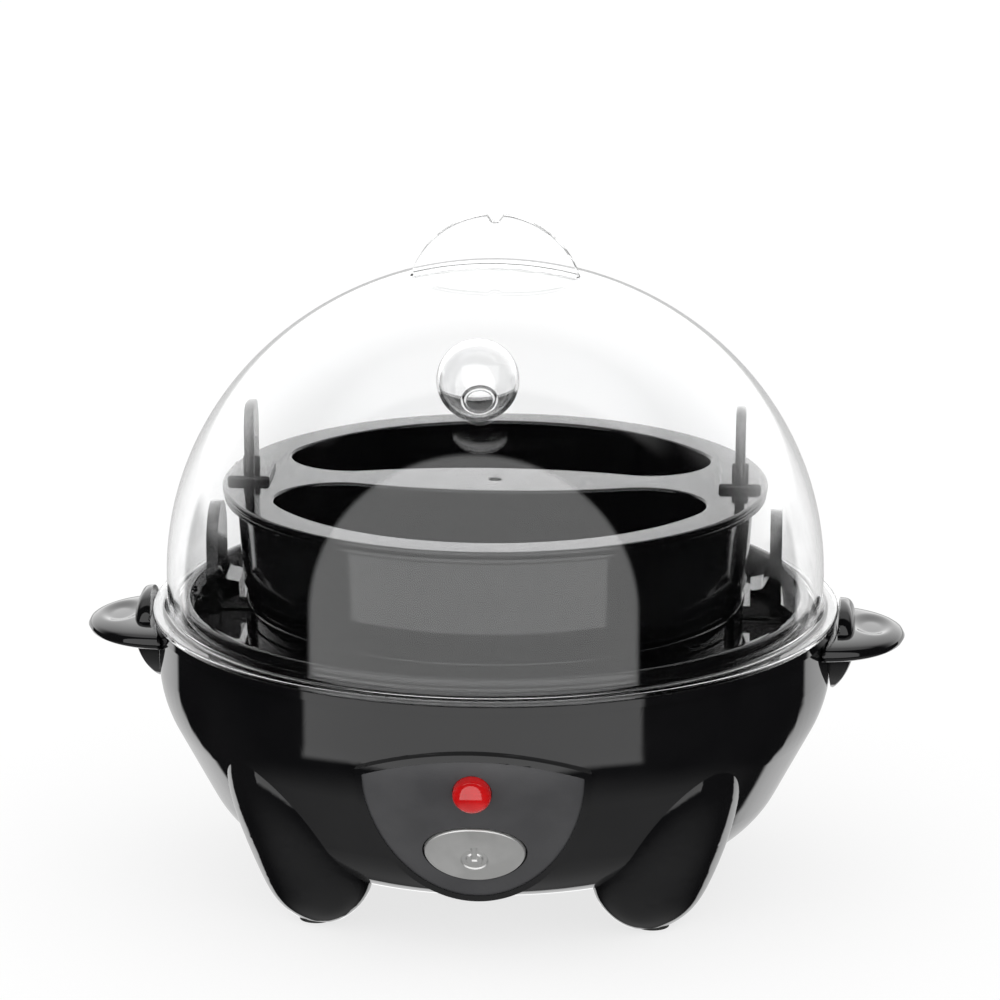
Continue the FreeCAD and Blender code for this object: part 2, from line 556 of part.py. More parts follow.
lens = less(
    joined(ellipsoid("lampRadius", "lampRadius", "lampDome", y="lampUp", z="-lensSink"),
           cylinder("lampRadius", "lensDepth", y="lampUp", z="-lensSink - lensDepth"),
           cylinder("lensFlange", "lensFlangeMetal", y="lampUp", z="-lensSink - lensDepth")),
    ellipsoid("lampRadius - lensWall", "lampRadius - lensWall", "lampDome - lensWall", y="lampUp", z="-lensSink"),
    cylinder("lampRadius - lensWall", "lensDepth + 1", y="lampUp", z="-lensSink - lensDepth - 1"))
keep("lamp_lens", onPanel(grouped([lens])))
keep("neon_lamp", onPanel(grouped([cylinder("bulbRadius", "bulbLength", y="lampUp", z="-bracketDrop + 0.2")])))

buttonCap = shared(
    ovalPad("XY_Plane", "buttonHalfWidth", "buttonHalfHeight", "-buttonDown", "20"),
    ellipsoid("40", "40", "40", y="-buttonDown", z="buttonProud - 40"))
capBottom = "-(panelThickness + buttonDepth)"
belowCap = block("80", "80", "40", y="-buttonDown", z=f"{capBottom} - 40")
buttonFlange = place(grouped([ovalPad(
    "XY_Plane", "buttonHalfWidth + buttonFlangeGrow", "buttonHalfHeight + buttonFlangeGrow",
    "-buttonDown", "1", both=False)]), z=capBottom)
stemEnd = f"{capBottom} - stemLength"
button = joined(less(buttonCap, belowCap), buttonFlange,
                cylinder("stemRadius", "stemLength + 0.5", y="-buttonDown", z=stemEnd))
keep("power_button", onPanel(grouped([button])))

bracketTools = [
    cylinder("stemRadius + 0.3", "10", y="-buttonDown", z="-bracketDrop - 5"),
    cylinder("bulbRadius + fitGap", "10", y="lampUp", z="-bracketDrop - 5"),
    *[cylinder("screwRadius + fitGap", "10", x=f"{side} * postSpread", z="-bracketDrop - 5")
      for side in (-1, 1)]]
bracketPlate = padded("XY_Plane", [
    ("-bracketHalfWidth", "-bracketHalfHeight", "3"), ("bracketHalfWidth", "-bracketHalfHeight", "3"),
    ("bracketHalfWidth", "bracketHalfHeight", "3"),
    ("-bracketHalfWidth", "bracketHalfHeight", "3")], "bracketMetal")
place(bracketPlate, z="-bracketDrop - bracketMetal / 2")
keep("switch_bracket", onPanel(grouped([less(bracketPlate, *bracketTools)])))
keep("bracket_screws", onPanel(grouped([
    screw(f"{side} * postSpread", "0", "-bracketDrop - bracketMetal", "6") for side in (-1, 1)])))
switchTop = "-bracketDrop - bracketMetal"
switchBody = less(
    block("switchWidth", "switchHeight", "switchDepth", y="-buttonDown", z=f"{switchTop} - switchDepth"),
    cylinder("stemRadius + 0.5", "5", y="-buttonDown", z=f"{switchTop} - 4.5"))
keep("power_switch", onPanel(grouped([switchBody])))

# The spring is a chain of half rings, each tipped so that it ends half a turn higher.
springLength = f"({capBottom}) + bracketDrop - 2 * springWire"
halfRise = f"({springLength}) / springTurns / 4"
halfTip = f"atan({halfRise} / springRadius)"
halfRings = []
for i in range(2 * sizes["springTurns"]):
    half = doc.addObject("Part::Torus", "HalfRing")
    bind(half, Radius1=f"sqrt(springRadius ^ 2 + ({halfRise}) ^ 2)", Radius2="springWire")
    half.Angle1, half.Angle2, half.Angle3 = -180, 180, 180
    place(half, turn=((1, 0, 0), f"{i % 2} * 180"))
    halfRings.append(place(grouped([half]), z=f"({2 * i + 1}) * {halfRise}",
                           turn=((0, 1, 0), f"{(-1) ** i} * {halfTip}")))
springLocal = place(grouped([joined(*halfRings)]), y="-buttonDown", z="-bracketDrop + springWire")
keep("button_spring", onPanel(grouped([springLocal])))

# ---- trays ---------------------------------------------------------------------------------


def archedPlate(x, thickness, width, foot, top):
    """Upright handle plate across Y with a round top."""
    half = f"({width}) / 2"
    plate = padded("YZ_Plane", [
        (f"-{half}", foot), (half, foot),
        (half, top, f"{half} * 0.98"), (f"-{half}", top, f"{half} * 0.98")], thickness)
    return place(plate, x)


rackFoot = f"{deckTop} + seatGap"
rackTop = f"{rackFoot} + rackSkirt + rackPlate"
rackDisc = turned([
    ("0", f"{rackTop} - rackPlate"), ("rackRadius - rackSkirtWall", f"{rackTop} - rackPlate"),
    ("rackRadius - rackSkirtWall", rackFoot), ("rackRadius", rackFoot),
    ("rackRadius", rackTop, "0.5"), ("0", rackTop)])
eggHoles = [cylinder("eggHole", "10", x, y, f"{rackTop} - 5")
            for x, y in [("0", "0")] + around(6, "eggRing", 30)]
plateInnerFace = "rackHandleReach - rackHandleThickness / 2"
plateOuterFace = "rackHandleReach + rackHandleThickness / 2"
rackHandles = []
for side in (-1, 1):
    bracket = padded("XZ_Plane", [
        (f"{side} * (rackRadius - 1)", rackFoot), (f"{side} * ({plateInnerFace} + 0.5)", rackFoot),
        (f"{side} * ({plateInnerFace} + 0.5)", f"{rackTop} + 7.5"),
        (f"{side} * ({plateInnerFace} - 1.6)", f"{rackTop} + 3.6", "1"),
        (f"{side} * (trayWallRadius + 0.8)", f"{rackTop} + 3"),
        (f"{side} * (trayWallRadius + 0.8)", f"{rackTop} - 0.8"),
        (f"{side} * (rackRadius - 1)", f"{rackTop} - 0.8")], "bracketWide")
    flare = padded("XZ_Plane", [
        (f"{side} * ({plateOuterFace} - 0.5)", rackFoot), (f"{side} * rackHandleFoot", rackFoot),
        (f"{side} * rackHandleFoot", f"{rackFoot} + 1.4"),
        (f"{side} * ({plateOuterFace} - 0.5)", f"{rackFoot} + 4.5")], "rackHandleWidth - 3")
    rackHandles += [bracket, flare, archedPlate(f"{side} * rackHandleReach", "rackHandleThickness",
                                                "rackHandleWidth", rackFoot, "rackHandleTop")]
keep("egg_rack", less(joined(rackDisc, *rackHandles), *eggHoles))

trayFoot = f"{rackTop} + seatGap"
trayStep = f"{trayFoot} + stepHeight"
trayTop = f"{trayFoot} + trayHeight"
keep("omelette_tray", turned([
    ("0", trayFoot), ("stepRadius", trayFoot, "1"), ("stepRadius", trayStep), ("trayWallRadius", trayStep, "0.4"),
    ("trayTopRadius", f"{trayTop} - rimThickness"), ("rimRadius", f"{trayTop} - rimThickness"),
    ("rimRadius", trayTop), ("trayTopRadius - trayWall", trayTop),
    ("stepRadius - trayWall", trayStep), ("stepRadius - trayWall", f"{trayFoot} + trayWall", "2"),
    ("0", f"{trayFoot} + trayWall")]))

poachUnder = f"{trayTop} + seatGap"
poachTop = f"{poachUnder} + poachPlate"
bridgeCentre = "bridgeCurve - bridgeHalf"


def wellPad(grow, z, depth):
    """Half-moon prism with rounded horns; its straight side bows in round the bridge."""
    body = doc.addObject("PartDesign::Body", "Well")
    sketch = sketchOn(body, "XY_Plane")
    outer, horn, bridge = f"wellRadius + {grow}", f"wellCorner + {grow}", f"bridgeCurve - {grow}"
    far, near, rise = value("wellRadius - wellCorner"), value("bridgeCurve + wellCorner"), value(bridgeCentre)
    hornY = (far ** 2 - near ** 2 + rise ** 2) / (2 * rise)
    hornX = math.sqrt(far ** 2 - hornY ** 2)
    outerTouch = math.atan2(hornY, hornX)
    bridgeTouch = math.atan2(rise - hornY, -hornX)
    up = FreeCAD.Vector(0, 0, 1)
    arcs = [
        (0, 0, outer, math.pi - outerTouch, 2 * math.pi + outerTouch),
        (hornX, hornY, horn, outerTouch, bridgeTouch),
        (0, rise, bridge, math.pi + (math.pi - bridgeTouch), 2 * math.pi - (math.pi - bridgeTouch)),
        (-hornX, hornY, horn, math.pi - bridgeTouch, math.pi - outerTouch)]
    for x, y, radius, first, last in arcs:
        circle = Part.Circle(FreeCAD.Vector(x, y, 0), up, value(radius))
        sketch.addGeometry(Part.ArcOfCircle(circle, first, last))
    for one, oneEnd, other, otherEnd in ((0, 2, 1, 1), (1, 2, 2, 2), (2, 1, 3, 1), (3, 2, 0, 1)):
        sketch.addConstraint(Sketcher.Constraint("Tangent", one, oneEnd, other, otherEnd))
    for arc, radius in ((0, outer), (1, horn), (2, bridge), (3, horn)):
        index = sketch.addConstraint(Sketcher.Constraint("Radius", arc, value(radius)))
        sketch.setExpression(f"Constraints[{index}]", named(radius))
    sketch.addConstraint(Sketcher.Constraint("Coincident", 0, 3, -1, 1))
    pin(sketch, 2, 3, "0", bridgeCentre)
    feature = body.newObject("PartDesign::Pad", "Pad")
    feature.Profile = sketch
    bind(feature, Length=depth)
    return place(body, z=z)


def bothWells(grow, z, depth):
    """The front well and its twin, turned half round, at the back."""
    back = wellPad(grow, z, depth)
    back.Placement.Rotation = FreeCAD.Rotation(FreeCAD.Vector(0, 0, 1), 180)
    return [wellPad(grow, z, depth), back]


poachDisc = turned([
    ("0", poachUnder), ("poachRim", poachUnder), ("poachRim", poachTop, "0.6"), ("0", poachTop)])
wellCups = bothWells("wellWall", f"{poachTop} - wellDepth - wellWall", "wellDepth + wellWall - 0.2")
wellHollows = bothWells("0", f"{poachTop} - wellDepth", "wellDepth + 1")
poachHandles = []
for side in (-1, 1):
    foot = padded("XY_Plane", [
        (f"{side} * (poachHandleReach - poachFootLength / 2)", "-poachFootWidth / 2", "4"),
        (f"{side} * (poachHandleReach + poachFootLength / 2)", "-poachFootWidth / 2", "4"),
        (f"{side} * (poachHandleReach + poachFootLength / 2)", "poachFootWidth / 2", "4"),
        (f"{side} * (poachHandleReach - poachFootLength / 2)", "poachFootWidth / 2", "4")], "2 * poachFootHeight")
    place(foot, z=poachTop)
    gusset = padded("XZ_Plane", [
        (f"{side} * (poachHandleReach - 4)", f"{poachTop} + poachFootHeight - 0.3"),
        (f"{side} * (poachHandleReach + 4)", f"{poachTop} + poachFootHeight - 0.3"),
        (f"{side} * poachHandleReach", f"{poachTop} + poachFootHeight + 6")], "2.2")
    poachHandles += [foot, gusset, archedPlate(f"{side} * poachHandleReach", "poachHandleThickness",
                                               "poachHandleWidth", poachTop, "poachHandleTop")]
footTrim = block("cutReach", "cutReach", "10", z=f"{poachUnder} - 10")
poachBlank = joined(poachDisc, less(joined(*poachHandles), footTrim), *wellCups)
keep("poaching_tray", less(poachBlank, cylinder("drainHole", "10", z=f"{poachTop} - 5"), *wellHollows))

# ---- lid -----------------------------------------------------------------------------------

lidFoot = f"{deckTop} + seatGap"


def domeSolid(inset, foot):
    """Upright wall under half an ellipsoid."""
    cap = ellipsoid(f"domeRadius - {inset}", f"domeRadius - {inset}", f"domeRise - {inset}", z="domeSpring")
    wall = cylinder(f"domeRadius - {inset}", f"domeSpring - ({foot})", z=foot)
    return joined(less(cap, block("cutReach", "cutReach", "cutReach", z="domeSpring - cutReach")), wall)


# The ball stands on the front of the dome, square to its surface.
ballSlope = "atan(tan(ballAngle) * domeRise / domeRadius)"
seatReach = "domeRadius * sin(ballAngle)"
seatHeight = "domeSpring + domeRise * cos(ballAngle)"
neckLine = ((1, 0, 0), ballSlope)
ventHole = cylinder("ventRadius", "30", y=f"-{seatReach} + 15 * sin({ballSlope})",
                    z=f"{seatHeight} - 15 * cos({ballSlope})", turn=neckLine)
flange = cylinder("flangeRadius", "flangeThickness", z=lidFoot)
keep("lid_dome", less(joined(domeSolid("0", lidFoot), flange),
                      domeSolid("domeWall", f"{lidFoot} - 1"), ventHole))
fin = less(
    cylinder("finRadius", "finThickness", y="finThickness / 2", z="finTop - finRadius", turn=((1, 0, 0), "90")),
    cylinder("finNotch", "finThickness + 4", y="finThickness / 2 + 2", z="finTop", turn=((1, 0, 0), "90")),
    domeSolid("0", lidFoot))
keep("lid_fin_handle", fin)
ballY = f"-({seatReach} + ballRadius * sin({ballSlope}))"
ballZ = f"{seatHeight} + ballRadius * cos({ballSlope})"
neck = cylinder("neckRadius", "6", y=f"-{seatReach} + 3 * sin({ballSlope})",
                z=f"{seatHeight} - 3 * cos({ballSlope})", turn=neckLine)
ballBlank = joined(less(ellipsoid("ballRadius", "ballRadius", "ballRadius", y=ballY, z=ballZ),
                        ellipsoid(*["ballRadius - ballWall"] * 3, y=ballY, z=ballZ)), neck)
keep("lid_vent_ball", less(ballBlank, domeSolid("0", lidFoot),
                           cylinder("ventRadius", "12", y=f"-{seatReach} + 4 * sin({ballSlope})",
                                    z=f"{seatHeight} - 4 * cos({ballSlope})", turn=neckLine)))

# ---- check and write -----------------------------------------------------------------------

doc.recompute()
failed = [item.Label for item in doc.Objects if {"Invalid", "Error"} & set(item.State)]
if failed:
    raise RuntimeError(f"these objects did not build: {failed}")
os.makedirs("parts", exist_ok=True)
for label, thing in nodes.items():
    shape = thing.Shape
    if shape.isNull() or not shape.isValid() or not shape.Solids:
        raise RuntimeError(f"{label} is not a valid solid")
    shape.exportStep(f"parts/{label}.step")
    print(f"{label}: {len(shape.Solids)} solids, {shape.Volume / 1000:.2f} cm3")
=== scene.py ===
import json
import math

import bmesh
import bpy
from mathutils import Matrix, Vector


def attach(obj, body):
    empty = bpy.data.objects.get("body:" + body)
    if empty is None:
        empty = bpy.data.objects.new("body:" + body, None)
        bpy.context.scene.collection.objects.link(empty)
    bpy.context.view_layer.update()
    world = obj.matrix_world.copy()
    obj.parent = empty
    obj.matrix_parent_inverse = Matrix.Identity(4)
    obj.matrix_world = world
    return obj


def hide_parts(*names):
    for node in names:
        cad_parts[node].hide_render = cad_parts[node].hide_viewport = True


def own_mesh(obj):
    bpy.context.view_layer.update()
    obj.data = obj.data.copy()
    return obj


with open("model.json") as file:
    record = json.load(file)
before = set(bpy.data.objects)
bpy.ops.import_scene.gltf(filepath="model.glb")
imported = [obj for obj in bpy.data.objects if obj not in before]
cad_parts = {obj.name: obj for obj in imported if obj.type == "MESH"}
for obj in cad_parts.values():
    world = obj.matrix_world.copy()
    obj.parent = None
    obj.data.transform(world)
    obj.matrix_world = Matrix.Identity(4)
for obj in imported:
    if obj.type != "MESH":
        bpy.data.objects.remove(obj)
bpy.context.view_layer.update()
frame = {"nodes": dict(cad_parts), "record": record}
nodes = frame["nodes"]
mm = 0.001
print("frame loaded:", len(nodes), "nodes")


# Small helpers for node trees.

def addNode(tree, kind, inputs=None, **settings):
    node = tree.nodes.new(kind)
    for name, value in settings.items():
        setattr(node, name, value)
    for name, value in (inputs or {}).items():
        if isinstance(value, bpy.types.NodeSocket):
            tree.links.new(value, node.inputs[name])
        else:
            node.inputs[name].default_value = value
    return node


def calc(tree, operation, *values):
    return addNode(tree, "ShaderNodeMath", dict(enumerate(values)), operation=operation).outputs[0]


def smoothStep(tree, value, low, high):
    return addNode(tree, "ShaderNodeMapRange", {"Value": value, "From Min": low, "From Max": high},
                   interpolation_type="SMOOTHSTEP").outputs["Result"]


# Camera, floor and studio light.

cameraSet = {"azimuth": 3.8, "elevation": 15.2, "distance": 1.4, "lens": 210.0, "aimHeight": 0.0929,
             "shiftX": 0.0047}


def makeCamera(s):
    turn, lift = math.radians(s["azimuth"]), math.radians(s["elevation"])
    outward = Vector((math.sin(turn) * math.cos(lift), -math.cos(turn) * math.cos(lift), math.sin(lift)))
    camera = bpy.data.objects.new("camera", bpy.data.cameras.new("camera"))
    camera.data.lens = s["lens"]
    camera.data.shift_x = s["shiftX"]
    camera.data.clip_start, camera.data.clip_end = 0.05, 50.0
    camera.location = Vector((0, 0, s["aimHeight"])) + outward * s["distance"]
    camera.rotation_euler = (-outward).to_track_quat("-Z", "Y").to_euler()
    bpy.context.scene.collection.objects.link(camera)
    bpy.context.scene.camera = camera


# What the gloss sees is a dark studio with one large rounded softbox in front and a white sweep
# behind; everything else sees an even white surround.
studio = {
    "ambient": 1.06, "dark": 0.008,
    "softboxAcross": -0.065, "softboxBase": -0.118, "softboxHalfWidth": 0.49, "softboxRise": 0.52,
    "softboxFoot": -32.0, "softboxStrength": 1.65, "softboxEdge": 0.02,
    "sweepStart": 0.66, "sweepFull": 0.70, "sweepStrength": 1.35, "sweepFade": 0.5, "backWall": 1.9,
    "ceiling": 1.1, "ceilingStart": 0.6, "ceilingFull": 0.9, "under": 0.32, "blur": 0.05,
}


def glossyDepth(tree):
    return calc(tree, "GREATER_THAN", addNode(tree, "ShaderNodeLightPath").outputs["Glossy Depth"], 0.5)


def makeStudio(s):
    world = bpy.data.worlds.new("studio")
    bpy.context.scene.world = world
    world.use_nodes = True
    tree = world.node_tree
    tree.nodes.clear()
    direction = addNode(tree, "ShaderNodeTexCoord").outputs["Generated"]
    split = addNode(tree, "ShaderNodeSeparateXYZ", {"Vector": direction})
    y, z = split.outputs["Y"], split.outputs["Z"]
    lift = calc(tree, "ARCSINE", z)
    aside, tip = math.radians(cameraSet["azimuth"]), math.radians(cameraSet["elevation"])
    toFront = (math.sin(aside) * math.cos(tip), -math.cos(aside) * math.cos(tip), math.sin(tip))
    sideways = (math.cos(aside), math.sin(aside), 0.0)
    upward = (-math.sin(aside) * math.sin(tip), math.cos(aside) * math.sin(tip), math.cos(tip))
    summed = addNode(tree, "ShaderNodeVectorMath", {0: direction, 1: toFront}, operation="ADD").outputs[0]
    halfWay = addNode(tree, "ShaderNodeVectorMath", {0: summed}, operation="NORMALIZE").outputs[0]
    rightward, raised = (
        addNode(tree, "ShaderNodeVectorMath", {0: halfWay, 1: way}, operation="DOT_PRODUCT").outputs["Value"]
        for way in (sideways, upward))
    across = calc(tree, "DIVIDE", calc(tree, "SUBTRACT", rightward, s["softboxAcross"]), s["softboxHalfWidth"])
    up = calc(tree, "DIVIDE", calc(tree, "MAXIMUM", calc(tree, "SUBTRACT", raised, s["softboxBase"]), 0.0),
              s["softboxRise"])
    foot = math.radians(s["softboxFoot"])
    apart = calc(tree, "SQRT", calc(tree, "ADD", calc(tree, "POWER", calc(tree, "ABSOLUTE", across), 2.0),
                                    calc(tree, "POWER", calc(tree, "ABSOLUTE", up), 2.0)))
    softbox = calc(tree, "MULTIPLY", smoothStep(tree, apart, 1.0 + s["softboxEdge"], 1.0 - s["softboxEdge"]),
                   calc(tree, "MULTIPLY", smoothStep(tree, lift, foot - s["blur"], foot + s["blur"]),
                        s["softboxStrength"]))
    below = smoothStep(tree, z, s["blur"], -s["blur"])
    fading = calc(tree, "MULTIPLY", s["sweepStrength"],
                  calc(tree, "SUBTRACT", 1.0, calc(tree, "MULTIPLY", smoothStep(tree, y, s["sweepFull"], 1.0),
                                                   s["sweepFade"])))
    floorSweep = calc(tree, "MULTIPLY", below, calc(tree, "MULTIPLY", fading,
                                                    smoothStep(tree, y, s["sweepStart"], s["sweepFull"])))
    backWall = calc(tree, "MULTIPLY", calc(tree, "SUBTRACT", 1.0, below),
                    calc(tree, "MULTIPLY", smoothStep(tree, y, 0.1, 0.7), s["backWall"]))
    sweep = calc(tree, "ADD", floorSweep, backWall)
    overhead = calc(tree, "MULTIPLY", smoothStep(tree, z, s["ceilingStart"], s["ceilingFull"]),
                    calc(tree, "MULTIPLY", smoothStep(tree, y, -s["blur"], s["blur"]), s["ceiling"]))
    straightDown = calc(tree, "MULTIPLY", smoothStep(tree, z, -0.6, -0.95), s["under"])
    seen = calc(tree, "ADD", s["dark"], calc(tree, "MAXIMUM", calc(tree, "MAXIMUM", softbox, overhead),
                                             calc(tree, "MAXIMUM", sweep, straightDown)))
    strength = addNode(tree, "ShaderNodeMix", {"Factor": glossyDepth(tree), "A": s["ambient"], "B": seen})
    background = addNode(tree, "ShaderNodeBackground", {"Strength": strength.outputs["Result"]})
    background.inputs["Color"].default_value = (1, 1, 1, 1)
    addNode(tree, "ShaderNodeOutputWorld", {"Surface": background.outputs[0]})


floorSet = {"radius": 6.0, "colour": (0.25, 0.25, 0.25, 1), "roughness": 0.9, "glow": 0.76}


def makeFloor(s):
    mesh = bpy.data.meshes.new("floor")
    shape = bmesh.new()
    bmesh.ops.create_circle(shape, cap_ends=True, segments=96, radius=s["radius"])
    shape.to_mesh(mesh)
    shape.free()
    material = bpy.data.materials.new("paleFloor")
    material.use_nodes = True
    tree = material.node_tree
    tree.nodes.clear()
    grain = addNode(tree, "ShaderNodeTexNoise", {"Scale": 350.0, "Detail": 2.0})
    bump = addNode(tree, "ShaderNodeBump", {"Height": grain.outputs["Fac"], "Strength": 0.02,
                                            "Distance": 0.001})
    paper = addNode(tree, "ShaderNodeBsdfPrincipled", {
        "Base Color": s["colour"], "Roughness": s["roughness"], "Specular IOR Level": 0.0,
        "Normal": bump.outputs[0], "Emission Color": (1, 1, 1, 1), "Emission Strength": s["glow"]})
    away = addNode(tree, "ShaderNodeBsdfTransparent")
    mix = addNode(tree, "ShaderNodeMixShader", {0: glossyDepth(tree), 1: paper.outputs[0], 2: away.outputs[0]})
    addNode(tree, "ShaderNodeOutputMaterial", {"Surface": mix.outputs[0]})
    mesh.materials.append(material)
    floor = bpy.data.objects.new("floor", mesh)
    bpy.context.scene.collection.objects.link(floor)


makeCamera(cameraSet)
makeStudio(studio)
makeFloor(floorSet)
bpy.context.scene.view_settings.view_transform = "Standard"
print("camera, studio and floor ready")


# Shader groups that several finishes share. Each gives only a value or a height.

def newGroup(name, inputs, output):
    group = bpy.data.node_groups.new(name, "ShaderNodeTree")
    for label, value in inputs.items():
        socket = group.interface.new_socket(label, in_out="INPUT", socket_type="NodeSocketFloat")
        socket.default_value = value
    group.interface.new_socket(output, in_out="OUTPUT", socket_type="NodeSocketFloat")
    return group, addNode(group, "NodeGroupInput").outputs, addNode(group, "NodeGroupOutput")


def makeGrainGroup():
    group, given, result = newGroup("mouldGrain", {"Scale": 1500.0, "Depth": 1.0}, "Height")
    where = addNode(group, "ShaderNodeTexCoord").outputs["Object"]
    fine = addNode(group, "ShaderNodeTexNoise", {"Vector": where, "Scale": given["Scale"], "Detail": 3.0})
    pores = addNode(group, "ShaderNodeTexVoronoi", {"Vector": where, "Scale": given["Scale"]})
    blend = calc(group, "MULTIPLY_ADD", pores.outputs["Distance"], 0.4, fine.outputs["Fac"])
    group.links.new(calc(group, "MULTIPLY", blend, given["Depth"]), result.inputs["Height"])
    return group


def makeHandlingGroup():
    group, given, result = newGroup(
        "handlingMarks", {"Roughness": 0.1, "Amount": 0.05, "Scale": 60.0}, "Roughness")
    where = addNode(group, "ShaderNodeTexCoord").outputs["Object"]
    cloudy = addNode(group, "ShaderNodeTexNoise", {"Vector": where, "Scale": given["Scale"], "Detail": 5.0,
                                                   "Roughness": 0.65, "Distortion": 0.6})
    patches = smoothStep(group, cloudy.outputs["Fac"], 0.42, 0.72)
    group.links.new(calc(group, "MULTIPLY_ADD", patches, given["Amount"], given["Roughness"]),
                    result.inputs["Roughness"])
    return group


def makeScratchGroup():
    group, given, result = newGroup("hairScratches", {"Scale": 80.0, "Amount": 1.0}, "Height")
    where = addNode(group, "ShaderNodeTexCoord").outputs["Object"]
    sets = []
    for turn in (0.4, 1.9):
        laid = addNode(group, "ShaderNodeMapping", {
            "Vector": where, "Rotation": (turn, turn * 1.7, turn * 0.6), "Scale": (1.0, 0.04, 1.0)})
        lines = addNode(group, "ShaderNodeTexVoronoi", {"Vector": laid.outputs[0], "Scale": given["Scale"]},
                        feature="DISTANCE_TO_EDGE")
        sets.append(smoothStep(group, lines.outputs["Distance"], 0.0, 0.03))
    finest = calc(group, "MINIMUM", *sets)
    group.links.new(calc(group, "MULTIPLY", finest, given["Amount"]), result.inputs["Height"])
    return group


def makeBrushGroup():
    group, given, result = newGroup("turnedLines", {"Scale": 2600.0, "Depth": 1.0}, "Height")
    where = addNode(group, "ShaderNodeTexCoord").outputs["Object"]
    split = addNode(group, "ShaderNodeSeparateXYZ", {"Vector": where})
    flat = calc(group, "SQRT", calc(group, "ADD", calc(group, "POWER", split.outputs["X"], 2.0),
                                    calc(group, "POWER", split.outputs["Y"], 2.0)))
    spot = addNode(group, "ShaderNodeCombineXYZ", {"X": flat, "Z": split.outputs["Z"]})
    rings = addNode(group, "ShaderNodeTexNoise", {"Vector": spot.outputs[0], "Scale": given["Scale"],
                                                  "Detail": 2.0})
    group.links.new(calc(group, "MULTIPLY", rings.outputs["Fac"], given["Depth"]), result.inputs["Height"])
    return group


mouldGrain, handlingMarks = makeGrainGroup(), makeHandlingGroup()
hairScratches, turnedLines = makeScratchGroup(), makeBrushGroup()


def placeGroup(tree, group, inputs):
    node = tree.nodes.new("ShaderNodeGroup")
    node.node_tree = group
    for name, value in inputs.items():
        node.inputs[name].default_value = value
    return node.outputs[0]


